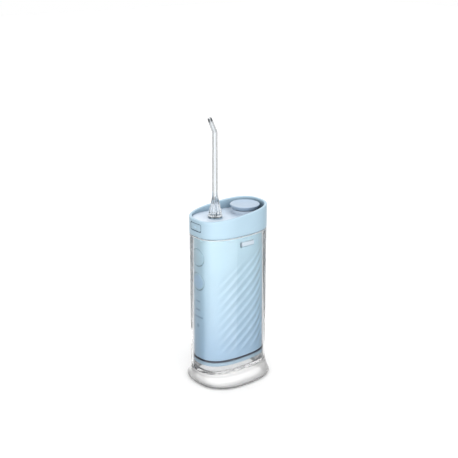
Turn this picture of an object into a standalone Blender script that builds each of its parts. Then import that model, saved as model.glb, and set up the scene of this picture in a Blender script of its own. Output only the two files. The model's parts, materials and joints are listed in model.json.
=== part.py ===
"""Telescopic pocket water flosser: a clear tank sleeve with a blue pump handle sliding in it.

Frame: +Z up, origin under the middle of the foot, front (the buttons) faces -Y.
Dimensions below are in millimetres; MM turns them into metres when points are made.
"""
from math import cos, pi, radians, sin

import bmesh
import bpy
from mathutils import Matrix, Vector

MM = 0.001
GAP = 0.3                  # clearance between neighbouring pieces

# Outline of the whole body: a rounded oblong |x/a|^n + |y/b|^n = 1
SQUARENESS = 2.6
OUTLINE_POINTS = 48
HALF_LENGTH = 31.1         # along Y, at the tank's outside
HALF_WIDTH = 20.95         # along X

# Tank
TANK_WALL = 1.6
TANK_BOTTOM = 11.5
TANK_FLOOR_TOP = 13.7
TANK_TOP = 120.7
FOOT_TOP = TANK_BOTTOM - GAP
FOOT_EDGE = 2.0            # height of the foot's widest line
FOOT_UNDERSIDE = 0.5
FOOT_HALF_LENGTH = 32.0
FOOT_HALF_WIDTH = 27.3
FOOT_STEPS = 6
PAD_THICKNESS = 1.0
PAD_INSET = 2.4
PAD_BREADTH = 3.0

# Handle: shell, piston end, collar and deck
SHELL_INSET = 2.4          # from the tank's outside to the shell's outside
SHELL_WALL = 1.8
SHELL_BOTTOM = 21.8
SHELL_TOP = 128.6
END_BOTTOM = 17.3
END_LIP_TOP = 20.3
END_TOP = 23.6
SEAL_BOTTOM = 20.6
SEAL_TOP = 21.5
COLLAR_BOTTOM = 121.1
COLLAR_WALL = 2.0
RIM_HEIGHT = 137.2         # at the axis
RIM_SLOPE = 0.0934         # rises towards the rear
DECK_HEIGHT = 131.9        # at the axis
DECK_SLOPE = -0.047        # falls towards the rear
DECK_THICKNESS = 1.6

# Nozzle and its seat
NOZZLE_Y = -12.5
NOZZLE_BOTTOM = 123.0
FLANGE_BOTTOM = 133.5
FLANGE_RADIUS = 5.6
NOZZLE_STEM_RADIUS = 2.6
NOZZLE_BEND = 197.0
NOZZLE_TOP_RADIUS = 2.0
NOZZLE_BELL = [(5.1, 135.0), (4.95, 137.9), (4.4, 141.1), (3.4, 144.3), (2.65, 147.0), (2.35, 150.0)]  # radius, z
NOZZLE_TILT = radians(24.4)
NOZZLE_BEND_RADIUS = 4.0
NOZZLE_TIP_LENGTH = 10.8
NOZZLE_BORE = 0.9
SEAT_BOTTOM = 129.6
SEAT_TOP = 133.2
SEAT_RADIUS = 5.4
SOCKET_BOTTOM = 120.5
SOCKET_TOP = 127.9

# Filling opening and its stopper
FILL_Y = 16.0
CAP_RADIUS = 11.5
CAP_BOTTOM = 135.2
CAP_TOP = 138.5
PLUG_RADIUS = 6.4
PLUG_BOTTOM = 127.5
NECK_BORE = 7.0
NECK_RADIUS = 9.7
NECK_TOP = 134.6
CUP_BOTTOM = 119.5
CUP_TOP = 128.7
CUP_RADIUS = 8.6
DUCT_Y = 21.8
DUCT_HALF_WIDTH = 4.6
DUCT_HALF_DEPTH = 2.2

# Buttons and lights on the front
POWER_Z = 104.2
MODE_Z = 84.9
BUTTON_RADIUS = 6.7
LIGHTS = {"mode_light_1": (69.1, 2.6), "mode_light_2": (62.1, 2.6), "mode_light_3": (56.3, 5.3)}
LIGHT_HALF_HEIGHT = 0.6
CHARGE_LIGHT_Z = 49.0
CHARGE_LIGHT_RADIUS = 1.5
RELEASE_HALF_WIDTH = 6.1
RELEASE_Z = (125.9, 131.5)
LATCH_Z = (128.2, 129.3)
CATCH_Y = (-2.0, 9.5)
CATCH_Z = (111.9, 115.4)
CATCH_FACE = 18.9
PORT_HALF_WIDTH = 6.5
PORT_Z = (122.9, 129.6)
PORT_HINGE_X = -20.5
PORT_HINGE_Z = 123.3

# Drive: motor, gear pair, crank and piston pump, all turning about Y
GEAR_MODULE = 0.8
PINION_TEETH = 8
GEAR_TEETH = 26
GEAR_SPREAD = 0.2          # extra centre distance for backlash
TOOTH_SHARE = 0.40         # tooth thickness at the pitch line over the pitch
MOTOR_Z = 34.0
MOTOR_RADIUS = 10.0
MOTOR_Y = (-15.5, 7.0)
FRAME_Y = (7.4, 9.0)
ROD_Y = (9.6, 12.2)
GEAR_Y = (12.7, 16.7)
COVER_Y = (17.1, 18.5)
CRANK_RADIUS = 1.2
PIN_RADIUS = 1.5
ROD_LENGTH = 15.5
WRIST_RADIUS = 0.8
PUMP_Y = 10.9
GEAR_Z = MOTOR_Z + GEAR_MODULE * (PINION_TEETH + GEAR_TEETH) / 2 + GEAR_SPREAD
CRANK_Z = GEAR_Z + CRANK_RADIUS
WRIST_Z = CRANK_Z + ROD_LENGTH
CYLINDER_Z = (77.0, 93.0)
HEAD_Z = (93.3, 101.0)
POST_X = 11.2
POST_Z = (29.5, 60.5)

# Battery and electronics
BATTERY_Y = -6.8
BATTERY_RADIUS = 9.2
BATTERY_Z = (46.9, 111.9)
BOARD_Y = (-18.5, -17.3)
BOARD_HALF_WIDTH = 12.4
BOARD_Z = (46.0, 111.5)
BOSS_Z = (52.0, 86.0)
BOSS_X = 10.6
SUCTION_X = -13.2
SUCTION_Y = 4.0

COLOURS = {
    "clear": ((0.93, 0.95, 0.97), 0.05, 0.0),
    "light_blue": ((0.47, 0.66, 0.84), 0.35, 0.0),
    "pale_blue": ((0.58, 0.76, 0.90), 0.3, 0.0),
    "seal": ((0.07, 0.10, 0.16), 0.6, 0.0),
    "grey_rubber": ((0.45, 0.47, 0.50), 0.7, 0.0),
    "white_plastic": ((0.82, 0.83, 0.84), 0.45, 0.0),
    "steel": ((0.60, 0.60, 0.62), 0.3, 1.0),
    "brass": ((0.72, 0.55, 0.25), 0.35, 1.0),
    "board_green": ((0.04, 0.22, 0.10), 0.5, 0.0),
    "black_plastic": ((0.03, 0.03, 0.035), 0.45, 0.0),
    "battery_wrap": ((0.10, 0.30, 0.42), 0.4, 0.0),
    "silicone": ((0.75, 0.78, 0.80), 0.6, 0.0),
}


# ---------------------------------------------------------------- helpers

def clear_scene():
    """Empty the file, leaving nothing but what this script makes."""
    for obj in list(bpy.data.objects):
        bpy.data.objects.remove(obj, do_unlink=True)


def material(name):
    """The named plastic, rubber or metal, made once."""
    found = bpy.data.materials.get(name)
    if found:
        return found
    colour, roughness, metallic = COLOURS[name]
    made = bpy.data.materials.new(name)
    made.use_nodes = True
    shader = made.node_tree.nodes["Principled BSDF"]
    shader.inputs["Base Color"].default_value = (*colour, 1.0)
    shader.inputs["Roughness"].default_value = roughness
    shader.inputs["Metallic"].default_value = metallic
    if name == "clear":
        shader.inputs["Alpha"].default_value = 0.35
    return made


def add_object(name, bm, material_name, smooth=True):
    """Turn a finished bmesh into a named object with one material."""
    bmesh.ops.recalc_face_normals(bm, faces=bm.faces)
    mesh = bpy.data.meshes.new(name)
    bm.to_mesh(mesh)
    bm.free()
    obj = bpy.data.objects.new(name, mesh)
    bpy.context.collection.objects.link(obj)
    if material_name:
        mesh.materials.append(material(material_name))
    if smooth:
        mesh.shade_smooth()
        mesh.set_sharp_from_angle(angle=radians(35))
    return obj


def power(value, exponent):
    """Signed power."""
    return abs(value) ** exponent * (1 if value >= 0 else -1)


def oblong(half_length, half_width, height, slope=0.0, count=OUTLINE_POINTS):
    """Ring of the body's rounded oblong at a height that may slope along Y."""
    points = []
    for index in range(count):
        turn = 2 * pi * index / count
        x = half_width * power(sin(turn), 2 / SQUARENESS)
        y = half_length * power(cos(turn), 2 / SQUARENESS)
        points.append(Vector((x, y, height + slope * y)))
    return points


def inset_oblong(inset, height, slope=0.0):
    """Ring a given distance inside the tank's outer surface."""
    return oblong(HALF_LENGTH - inset, HALF_WIDTH - inset, height, slope)


def circle(radius, height, count=24):
    """Ring of a round section at a height on the Z axis."""
    points = []
    for index in range(count):
        turn = 2 * pi * index / count
        points.append(Vector((radius * cos(turn), radius * sin(turn), height)))
    return points


def loft(name, rings, material_name, closed=False):
    """Skin a list of equal rings; closed joins the last ring to the first, as on a tube."""
    bm = bmesh.new()
    loops = [[bm.verts.new(point * MM) for point in ring] for ring in rings]
    pairs = list(zip(loops, loops[1:]))
    if closed:
        pairs.append((loops[-1], loops[0]))
    for lower, upper in pairs:
        for index in range(len(lower)):
            after = (index + 1) % len(lower)
            bm.faces.new((lower[index], lower[after], upper[after], upper[index]))
    if not closed:
        bm.faces.new(loops[0])
        bm.faces.new(loops[-1])
    return add_object(name, bm, material_name)


def turned(name, profile, material_name, closed=False, count=24):
    """Round piece on the Z axis from (radius, height) pairs."""
    return loft(name, [circle(radius, height, count) for radius, height in profile], material_name, closed)


def box(name, x_range, y_range, z_range, material_name=None):
    """Plain block between three ranges."""
    bm = bmesh.new()
    bmesh.ops.create_cube(bm, size=1.0)
    ranges = (x_range, y_range, z_range)
    for vert in bm.verts:
        vert.co = Vector([sum(span) / 2 + part * (span[1] - span[0]) for part, span in zip(vert.co, ranges)]) * MM
    return add_object(name, bm, material_name, smooth=False)


def plate(name, points, thickness_range, material_name=None):
    """Flat piece in the XZ plane, from (x, z) points, filling a range of Y."""
    low, high = thickness_range
    front = [Vector((x, low, z)) for x, z in points]
    back = [Vector((x, high, z)) for x, z in points]
    return loft(name, [front, back], material_name)


def place(obj, x, y, z):
    """Move a piece made on the origin to its place."""
    obj.location = Vector((x, y, z)) * MM
    return obj


def along_y(obj, x, y, z):
    """Lay a piece turned about Z along +Y, with its origin at the given point."""
    obj.rotation_euler = (-pi / 2, 0, 0)
    return place(obj, x, y, z)


def along_x(obj, x, y, z):
    """Lay a piece turned about Z along +X, with its origin at the given point."""
    obj.rotation_euler = (0, pi / 2, 0)
    return place(obj, x, y, z)


def pin(name, radius, span, material_name=None, count=20):
    """Plain cylinder on Z from span[0] to span[1]."""
    return turned(name, [(radius, span[0]), (radius, span[1])], material_name, count=count)


def combine(target, tool, operation):
    """Boolean the tool into the target and hide the tool."""
    tool.hide_render = True
    tool.display_type = "WIRE"
    change = target.modifiers.new(tool.name, "BOOLEAN")
    change.operation = operation
    change.solver = "EXACT"
    change.object = tool
    return target


def cut(target, tool):
    """Take the tool's shape out of the target."""
    return combine(target, tool, "DIFFERENCE")


def join(target, tool):
    """Add the tool's shape to the target."""
    return combine(target, tool, "UNION")


def tube_along(name, route, radius, material_name, steps=6):
    """Round tube along a smooth curve through the route's points."""
    points = [Vector(point) for point in route]
    ends = [2 * points[0] - points[1], *points, 2 * points[-1] - points[-2]]
    smooth = []
    for before, start, stop, after in zip(ends, ends[1:], ends[2:], ends[3:]):
        for index in range(steps):
            t = index / steps
            smooth.append(0.5 * (2 * start + (stop - before) * t
                                 + (2 * before - 5 * start + 4 * stop - after) * t ** 2
                                 + (3 * start - before - 3 * stop + after) * t ** 3))
    smooth.append(points[-1])
    curve = bpy.data.curves.new(name, "CURVE")
    curve.dimensions = "3D"
    curve.bevel_depth = radius * MM
    curve.bevel_resolution = 2
    curve.use_fill_caps = True
    spline = curve.splines.new("POLY")
    spline.points.add(len(smooth) - 1)
    for target, point in zip(spline.points, smooth):
        target.co = (*(point * MM), 1.0)
    curve.materials.append(material(material_name))
    obj = bpy.data.objects.new(name, curve)
    bpy.context.collection.objects.link(obj)
    return obj


def pivot(name, x, y, z, pieces):
    """Parent moving pieces to an empty that sits on their joint's axis."""
    empty = bpy.data.objects.new(name, None)
    empty.location = Vector((x, y, z)) * MM
    bpy.context.collection.objects.link(empty)
    for piece in pieces:
        piece.parent = empty
        piece.matrix_parent_inverse = Matrix.Translation(-empty.location)


# ---------------------------------------------------------------- tank

def tank_sleeve():
    """Clear cup that the handle slides into."""
    loft("tank_sleeve", [
        inset_oblong(0, TANK_BOTTOM),
        inset_oblong(0, TANK_TOP),
        inset_oblong(TANK_WALL, TANK_TOP),
        inset_oblong(TANK_WALL, TANK_FLOOR_TOP),
    ], "clear")


def tank_foot():
    """Clear flared skirt under the tank, wider on the broad sides than on the ends."""
    rings = []
    for step in range(FOOT_STEPS + 1):
        share = step / FOOT_STEPS
        flare = share ** 1.7
        length = HALF_LENGTH + (FOOT_HALF_LENGTH - HALF_LENGTH) * flare
        width = HALF_WIDTH + (FOOT_HALF_WIDTH - HALF_WIDTH) * flare
        rings.append(oblong(length, width, FOOT_TOP + (FOOT_EDGE - FOOT_TOP) * share))
    groove = PAD_THICKNESS + GAP
    pad_edge = PAD_INSET - GAP
    pad_inner = PAD_INSET + PAD_BREADTH + GAP
    rings.append(oblong(FOOT_HALF_LENGTH - 0.7, FOOT_HALF_WIDTH - 0.7, FOOT_UNDERSIDE))
    rings.append(oblong(FOOT_HALF_LENGTH - pad_edge, FOOT_HALF_WIDTH - pad_edge, FOOT_UNDERSIDE))
    rings.append(oblong(FOOT_HALF_LENGTH - pad_edge, FOOT_HALF_WIDTH - pad_edge, groove))
    rings.append(oblong(FOOT_HALF_LENGTH - pad_inner, FOOT_HALF_WIDTH - pad_inner, groove))
    rings.append(inset_oblong(TANK_WALL + 2.6, FOOT_TOP))
    loft("tank_foot", rings, "clear", closed=True)


def foot_pad():
    """Non-slip ring that the flosser stands on."""
    outer = (FOOT_HALF_LENGTH - PAD_INSET, FOOT_HALF_WIDTH - PAD_INSET)
    inner = (outer[0] - PAD_BREADTH, outer[1] - PAD_BREADTH)
    loft("foot_pad", [
        oblong(*outer, 0),
        oblong(*outer, PAD_THICKNESS),
        oblong(*inner, PAD_THICKNESS),
        oblong(*inner, 0),
    ], "grey_rubber", closed=True)


# ---------------------------------------------------------------- handle casing

def body_shell():
    """Long blue casing with windows for the buttons, lights, latch, catch and port."""
    shell = loft("body_shell", [
        inset_oblong(SHELL_INSET, SHELL_BOTTOM),
        inset_oblong(SHELL_INSET, SHELL_TOP),
        inset_oblong(SHELL_INSET + SHELL_WALL, SHELL_TOP),
        inset_oblong(SHELL_INSET + SHELL_WALL, SHELL_BOTTOM),
    ], "light_blue", closed=True)
    front = (-HALF_LENGTH - 2, -HALF_LENGTH + 8)
    for name, height in (("power", POWER_Z), ("mode", MODE_Z)):
        hole = pin(name + "_hole", BUTTON_RADIUS + GAP, (0, 10), count=32)
        cut(shell, along_y(hole, 0, front[0], height))
    for name, (height, half_width) in LIGHTS.items():
        half_height = LIGHT_HALF_HEIGHT + GAP
        slot = (-half_width - GAP, half_width + GAP)
        cut(shell, box(name + "_slot", slot, front, (height - half_height, height + half_height)))
    charge = pin("charge_light_hole", CHARGE_LIGHT_RADIUS + GAP, (0, 10), count=16)
    cut(shell, along_y(charge, 0, front[0], CHARGE_LIGHT_Z))
    window = RELEASE_HALF_WIDTH + GAP
    cut(shell, box("release_notch", (-window, window), front, (RELEASE_Z[0] - GAP, SHELL_TOP + 5)))
    cut(shell, box("catch_window", (14, 22), (CATCH_Y[0] - GAP, CATCH_Y[1] + GAP),
                   (CATCH_Z[0] - GAP, CATCH_Z[1] + GAP)))
    cut(shell, box("port_notch", (-22, -14), (-5, 5), (124.4, SHELL_TOP + 5)))


def collar():
    """Pale head band, flush with the tank, whose rim rises to the rear."""
    band = loft("collar", [
        inset_oblong(0, COLLAR_BOTTOM),
        inset_oblong(0, RIM_HEIGHT, RIM_SLOPE),
        inset_oblong(COLLAR_WALL, RIM_HEIGHT, RIM_SLOPE),
        inset_oblong(COLLAR_WALL, COLLAR_BOTTOM),
    ], "pale_blue", closed=True)
    window = RELEASE_HALF_WIDTH + GAP
    cut(band, box("release_window", (-window, window), (-35, -25), (RELEASE_Z[0] - GAP, RELEASE_Z[1] + GAP)))
    flap = PORT_HALF_WIDTH + GAP
    cut(band, box("port_window", (-24, -16), (-flap, flap), (PORT_Z[0] - GAP, PORT_Z[1] + GAP)))


def deck():
    """Top plate with the filling neck, and underneath it the stop for the latch spring."""
    inset = COLLAR_WALL + GAP
    slab = loft("deck", [
        inset_oblong(inset, DECK_HEIGHT - DECK_THICKNESS, DECK_SLOPE),
        inset_oblong(inset, DECK_HEIGHT, DECK_SLOPE),
    ], "pale_blue")
    neck = pin("deck_neck", NECK_RADIUS, (DECK_HEIGHT - DECK_THICKNESS, NECK_TOP), count=40)
    join(slab, place(neck, 0, FILL_Y, 0))
    join(slab, box("deck_spring_stop", (-2.2, 2.2), (-0.2, 1.0), (126.8, DECK_HEIGHT - 0.5)))
    bore = pin("neck_bore", NECK_BORE, (120, 140), count=32)
    cut(slab, place(bore, 0, FILL_Y, 0))
    seat_hole = pin("seat_hole", SEAT_RADIUS + GAP, (120, 140), count=32)
    cut(slab, place(seat_hole, 0, NOZZLE_Y, 0))


def end_cap():
    """Piston end of the handle: wiping lip, seal groove, and the plug inside the shell."""
    plug_inset = SHELL_INSET + SHELL_WALL + GAP + 0.1
    cap = loft("end_cap", [
        inset_oblong(TANK_WALL + 0.9, END_BOTTOM),
        inset_oblong(TANK_WALL + 0.4, END_BOTTOM + 0.5),
        inset_oblong(TANK_WALL + 0.4, END_LIP_TOP),
        inset_oblong(plug_inset, END_LIP_TOP),
        inset_oblong(plug_inset, END_TOP),
    ], "pale_blue")
    cut(cap, place(pin("suction_hole", 2.1, (10, 30)), SUCTION_X, SUCTION_Y, 0))
    cut(cap, place(pin("filter_recess", 3.4, (10, 19.0)), SUCTION_X + 1.6, SUCTION_Y, 0))
    half_width = DUCT_HALF_WIDTH + GAP
    half_depth = DUCT_HALF_DEPTH + GAP
    cut(cap, box("duct_slot", (-half_width, half_width), (DUCT_Y - half_depth, DUCT_Y + half_depth), (10, 30)))


def tank_seal():
    """Dark lip seal between the handle and the tank wall."""
    inner = SHELL_INSET + SHELL_WALL + 0.1
    loft("tank_seal", [
        inset_oblong(TANK_WALL + GAP, SEAL_BOTTOM),
        inset_oblong(TANK_WALL + GAP, SEAL_TOP),
        inset_oblong(inner, SEAL_TOP),
        inset_oblong(inner, SEAL_BOTTOM),
    ], "seal", closed=True)


# ---------------------------------------------------------------- nozzle and stopper

def nozzle():
    """Clear jet nozzle: stem, flange, ribbed flare, long tapered tube and bent tip."""
    stations = [(NOZZLE_STEM_RADIUS, NOZZLE_BOTTOM), (NOZZLE_STEM_RADIUS, FLANGE_BOTTOM),
                (FLANGE_RADIUS, FLANGE_BOTTOM), (FLANGE_RADIUS, FLANGE_BOTTOM + 1.2),
                *NOZZLE_BELL, (NOZZLE_TOP_RADIUS + 0.05, 190.0), (NOZZLE_TOP_RADIUS, NOZZLE_BEND)]
    path = [(radius, Vector((0, 0, height)), 0.0) for radius, height in stations]
    bore_start = 3 + len(NOZZLE_BELL)
    corner = Vector((0, 0, NOZZLE_BEND))
    for step in (1, 2, 3):
        angle = NOZZLE_TILT * step / 3
        shift = Vector((0, cos(angle) - 1, sin(angle))) * NOZZLE_BEND_RADIUS
        path.append((NOZZLE_TOP_RADIUS - 0.03 * step, corner + shift, angle))
    last = path[-1][1]
    along = Vector((0, -sin(NOZZLE_TILT), cos(NOZZLE_TILT)))
    path.append((1.65, last + along * NOZZLE_TIP_LENGTH, NOZZLE_TILT))

    def ring(radius, centre, angle):
        tilt = Matrix.Rotation(angle, 3, "X")
        return [centre + tilt @ point for point in circle(radius, 0)]

    outside = [ring(*station) for station in path]
    bore = [ring(NOZZLE_BORE, centre, angle) for _, centre, angle in reversed(path[bore_start:])]
    bore.append(circle(NOZZLE_BORE, NOZZLE_BOTTOM))
    piece = place(loft("nozzle", outside + bore, "clear", closed=True), 0, NOZZLE_Y, 0)
    pivot("nozzle_pivot", 0, NOZZLE_Y, FLANGE_BOTTOM, [piece])


def nozzle_seat():
    """Turning ring that carries the nozzle, above its fixed socket and sealing ring."""
    ring = turned("nozzle_ring", [
        (SEAT_RADIUS, SEAT_BOTTOM), (SEAT_RADIUS, SEAT_TOP),
        (NOZZLE_STEM_RADIUS + GAP, SEAT_TOP), (NOZZLE_STEM_RADIUS + GAP, SEAT_BOTTOM),
    ], "pale_blue", closed=True, count=32)
    pivot("seat_pivot", 0, NOZZLE_Y, SEAT_TOP, [place(ring, 0, NOZZLE_Y, 0)])
    socket = turned("nozzle_socket", [
        (5.2, SOCKET_BOTTOM), (5.2, SOCKET_TOP), (4.2, SOCKET_TOP), (4.2, 126.4),
        (3.0, 126.4), (3.0, 122.4), (1.0, 122.4), (1.0, SOCKET_BOTTOM),
    ], "white_plastic", closed=True)
    place(socket, 0, NOZZLE_Y, 0)
    seal = turned("nozzle_oring", [
        (3.4, 126.7), (3.9, 126.9), (3.9, 127.4), (3.4, 127.6), (2.9, 127.4), (2.9, 126.9),
    ], "seal", closed=True)
    place(seal, 0, NOZZLE_Y, 0)


def fill_parts():
    """Lift-out stopper with its ring, and the cup and duct that lead water down to the tank."""
    cap = turned("fill_cap", [
        (PLUG_RADIUS - 0.8, PLUG_BOTTOM), (PLUG_RADIUS, PLUG_BOTTOM + 0.8), (PLUG_RADIUS, 129.0),
        (5.5, 129.0), (5.5, 130.6), (PLUG_RADIUS, 130.6), (PLUG_RADIUS, CAP_BOTTOM),
        (CAP_RADIUS, CAP_BOTTOM), (CAP_RADIUS, CAP_TOP - 0.9), (CAP_RADIUS - 0.6, CAP_TOP - 0.2),
        (CAP_RADIUS - 2.0, CAP_TOP),
    ], "pale_blue", count=36)
    ring = turned("cap_seal", [
        (6.25, 129.3), (6.7, 129.5), (6.7, 130.1), (6.25, 130.3), (5.8, 130.1), (5.8, 129.5),
    ], "seal", closed=True)
    pivot("cap_pivot", 0, FILL_Y, CAP_BOTTOM, [place(cap, 0, FILL_Y, 0), place(ring, 0, FILL_Y, 0)])
    cup = turned("fill_cup", [
        (CUP_RADIUS, CUP_BOTTOM), (CUP_RADIUS, CUP_TOP),
        (CUP_RADIUS - 1.2, CUP_TOP), (CUP_RADIUS - 1.2, CUP_BOTTOM + 1.4),
    ], "white_plastic", count=32)
    place(cup, 0, FILL_Y + 0.2, 0)
    cut(cup, box("cup_outlet", (-2.6, 2.6), (DUCT_Y - 1.2, DUCT_Y + 0.9), (110, 125)))
    duct_span = (END_BOTTOM + 0.7, CUP_BOTTOM - GAP)
    duct = box("fill_duct", (-DUCT_HALF_WIDTH, DUCT_HALF_WIDTH),
               (DUCT_Y - DUCT_HALF_DEPTH, DUCT_Y + DUCT_HALF_DEPTH), duct_span, "white_plastic")
    rounding = duct.modifiers.new("rounded_edges", "BEVEL")
    rounding.width = 0.8 * MM
    rounding.segments = 2
    cut(duct, box("duct_bore", (-3.6, 3.6), (DUCT_Y - 1.2, DUCT_Y + 1.2), (10, 130)))


# ---------------------------------------------------------------- buttons, catch, port

def casing_block(name, inset):
    """Hidden solid with the body's outline, used to give a button the casing's curve."""
    block = loft(name, [inset_oblong(inset, 0), inset_oblong(inset, 140)], None)
    block.hide_render = True
    block.display_type = "WIRE"
    return block


def round_button(name, height, material_name):
    """Round push button whose face follows the shell, with a flange and a switch stem."""
    cap = along_y(pin(name, BUTTON_RADIUS, (0, 3.5), material_name, count=32), 0, -29.2, height)
    combine(cap, casing_block(name + "_face", SHELL_INSET), "INTERSECT")
    join(cap, along_y(pin(name + "_flange", BUTTON_RADIUS + 0.6, (0, 0.8), count=24), 0, -25.4, height))
    join(cap, along_y(pin(name + "_neck", 4.0, (0, 1.0), count=16), 0, -26.0, height))
    join(cap, along_y(pin(name + "_stem", 2.0, (0, 2.0), count=16), 0, -25.6, height))
    pivot(name + "_pivot", 0, -28.7, height, [cap])


def nozzle_release():
    """Front button that slides the nozzle latch back against its spring."""
    button = box("release_button", (-RELEASE_HALF_WIDTH, RELEASE_HALF_WIDTH), (-32, -29.2), RELEASE_Z, "pale_blue")
    combine(button, casing_block("release_button_face", 0), "INTERSECT")
    join(button, box("release_boss", (-3.0, 3.0), (-29.6, -27.2), (127.2, 130.0)))
    low = NOZZLE_Y - NOZZLE_STEM_RADIUS - GAP - 1.6
    high = NOZZLE_Y + NOZZLE_STEM_RADIUS + GAP + 0.1
    latch = box("nozzle_latch", (-4.8, 4.8), (-26.9, -6.2), LATCH_Z, "white_plastic")
    cut(latch, box("latch_slot", (-2.95, 2.95), (low, high), (120, 135)))
    turns = 5
    steps = 10
    helix = []
    for index in range(turns * steps + 1):
        angle = 2 * pi * index / steps
        y = -5.6 + 4.7 * index / (turns * steps)
        helix.append((0.95 * cos(angle), y, sum(LATCH_Z) / 2 + 0.95 * sin(angle)))
    spring = tube_along("release_spring", helix, 0.2, "steel", steps=1)
    pivot("release_pivot", 0, -HALF_LENGTH, sum(RELEASE_Z) / 2, [button, latch, spring])


def side_catch():
    """Sprung catch on the shell's right side that holds the tank shut, with its spring arm."""
    bar = box("side_catch", (15.5, CATCH_FACE), CATCH_Y, CATCH_Z, "light_blue")
    edge = bar.modifiers.new("rounded_edges", "BEVEL")
    edge.width = 0.5 * MM
    edge.segments = 2
    join(bar, box("catch_arm", (15.2, 16.2), (1.0, 6.5), (98.0, 115.0)))
    pivot("catch_pivot", CATCH_FACE, sum(CATCH_Y) / 2, sum(CATCH_Z) / 2, [bar])


def charging_port():
    """Socket on the left side of the collar and the hinged flap that keeps water out of it."""
    flap = box("port_flap", (-22, -19.6), (-PORT_HALF_WIDTH, PORT_HALF_WIDTH), PORT_Z, "pale_blue")
    combine(flap, casing_block("port_flap_face", 0), "INTERSECT")
    join(flap, box("flap_plug", (-20.0, -18.5), (-3.9, 3.9), (125.2, 128.0)))
    pivot("port_hinge", PORT_HINGE_X, 0, PORT_HINGE_Z, [flap])
    socket = box("charge_socket", (-18.0, -10.8), (-4.5, 4.5), (125.0, 128.2), "steel")
    cut(socket, box("socket_mouth", (-20, -12.0), (-4.1, 4.1), (125.4, 127.8)))
    join(socket, box("socket_tongue", (-16.8, -11.5), (-3.2, 3.2), (126.3, 126.9)))


# ---------------------------------------------------------------- drive and pump

def gear_outline(teeth, turn):
    """Trapezoid teeth about the origin as (x, z) points."""
    pitch_radius = GEAR_MODULE * teeth / 2
    tip = pitch_radius + 0.75 * GEAR_MODULE
    root = pitch_radius - 1.15 * GEAR_MODULE
    step = 2 * pi / teeth
    corners = ((root, -0.64 * TOOTH_SHARE), (tip, -0.30 * TOOTH_SHARE),
               (tip, 0.30 * TOOTH_SHARE), (root, 0.64 * TOOTH_SHARE))
    points = []
    for tooth in range(teeth):
        for radius, share in corners:
            angle = turn + step * (tooth + share)
            points.append((radius * sin(angle), radius * cos(angle)))
    return points


def gear_pair():
    """Motor shaft with its pinion, and the crank gear it drives on a fixed axle."""
    pinion = plate("pinion", gear_outline(PINION_TEETH, 0), (GEAR_Y[0] + 0.2, GEAR_Y[1] - 0.2), "brass")
    place(pinion, 0, 0, MOTOR_Z)
    cut(pinion, along_y(pin("pinion_bore", 1.25, (0, 10)), 0, GEAR_Y[0] - 2, MOTOR_Z))
    shaft = along_y(pin("motor_shaft", 1.0, (0, 8.0), "steel", count=16), 0, 8.9, MOTOR_Z)
    pivot("pinion_pivot", 0, GEAR_Y[0], MOTOR_Z, [pinion, shaft])
    gear = plate("crank_gear", gear_outline(GEAR_TEETH, pi / GEAR_TEETH), GEAR_Y, "white_plastic")
    place(gear, 0, 0, GEAR_Z)
    crank_pin = pin("crank_pin", PIN_RADIUS, (0, GEAR_Y[0] + 0.5 - ROD_Y[0] + GAP), count=20)
    join(gear, along_y(crank_pin, 0, ROD_Y[0] - GAP, CRANK_Z))
    cut(gear, along_y(pin("gear_bore", 1.75, (0, 10)), 0, GEAR_Y[0] + 1.2, GEAR_Z))
    pivot("crank_pivot", 0, GEAR_Y[0], GEAR_Z, [gear])
    along_y(pin("gear_axle", 1.5, (0, 4.2), "steel"), 0, GEAR_Y[0] + 1.5, GEAR_Z)


def connecting_rod():
    """Rod from the crank pin to the piston's fork; its upper eye is a slot."""
    rod = along_y(pin("connecting_rod", 3.4, (0, ROD_Y[1] - ROD_Y[0]), "white_plastic", count=28),
                  0, ROD_Y[0], CRANK_Z)
    join(rod, box("rod_bar", (-1.5, 1.5), ROD_Y, (CRANK_Z + 2, WRIST_Z - 3.8)))
    join(rod, box("rod_eye", (-3.3, 3.3), ROD_Y, (WRIST_Z - 4.6, WRIST_Z + 4.6)))
    cut(rod, along_y(pin("rod_bore", PIN_RADIUS + 0.25, (-2, 8)), 0, ROD_Y[0], CRANK_Z))
    slot_width = WRIST_RADIUS + CRANK_RADIUS + GAP
    slot_height = WRIST_RADIUS + 2 * CRANK_RADIUS + GAP
    cut(rod, box("rod_slot", (-slot_width, slot_width), (0, 20), (WRIST_Z - slot_height, WRIST_Z + slot_height)))
    pivot("rod_pivot", 0, ROD_Y[0], CRANK_Z, [rod])


def piston():
    """Plunger with a fork for the rod, its wrist pin and its sealing ring."""
    fork = box("piston", (-4.2, 4.2), (PUMP_Y - 3.0, PUMP_Y + 3.0), (62.0, 74.4), "white_plastic")
    cut(fork, box("fork_slot", (-6, 6), (ROD_Y[0] - GAP, ROD_Y[1] + GAP), (50, 71.9)))
    cut(fork, along_y(pin("wrist_hole", WRIST_RADIUS + 0.25, (0, 12), count=16), 0, PUMP_Y - 6, WRIST_Z))
    join(fork, place(pin("plunger", 2.2, (74.0, 91.0)), 0, PUMP_Y, 0))
    wrist = along_y(pin("wrist_pin", WRIST_RADIUS, (0, 5.8), "steel", count=16), 0, PUMP_Y - 2.9, WRIST_Z)
    seal = turned("piston_seal", [(2.9, 86.0), (2.9, 88.5), (2.5, 88.5), (2.5, 86.0)], "seal", closed=True)
    pivot("piston_pivot", 0, PUMP_Y, WRIST_Z, [fork, wrist, place(seal, 0, PUMP_Y, 0)])


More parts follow.
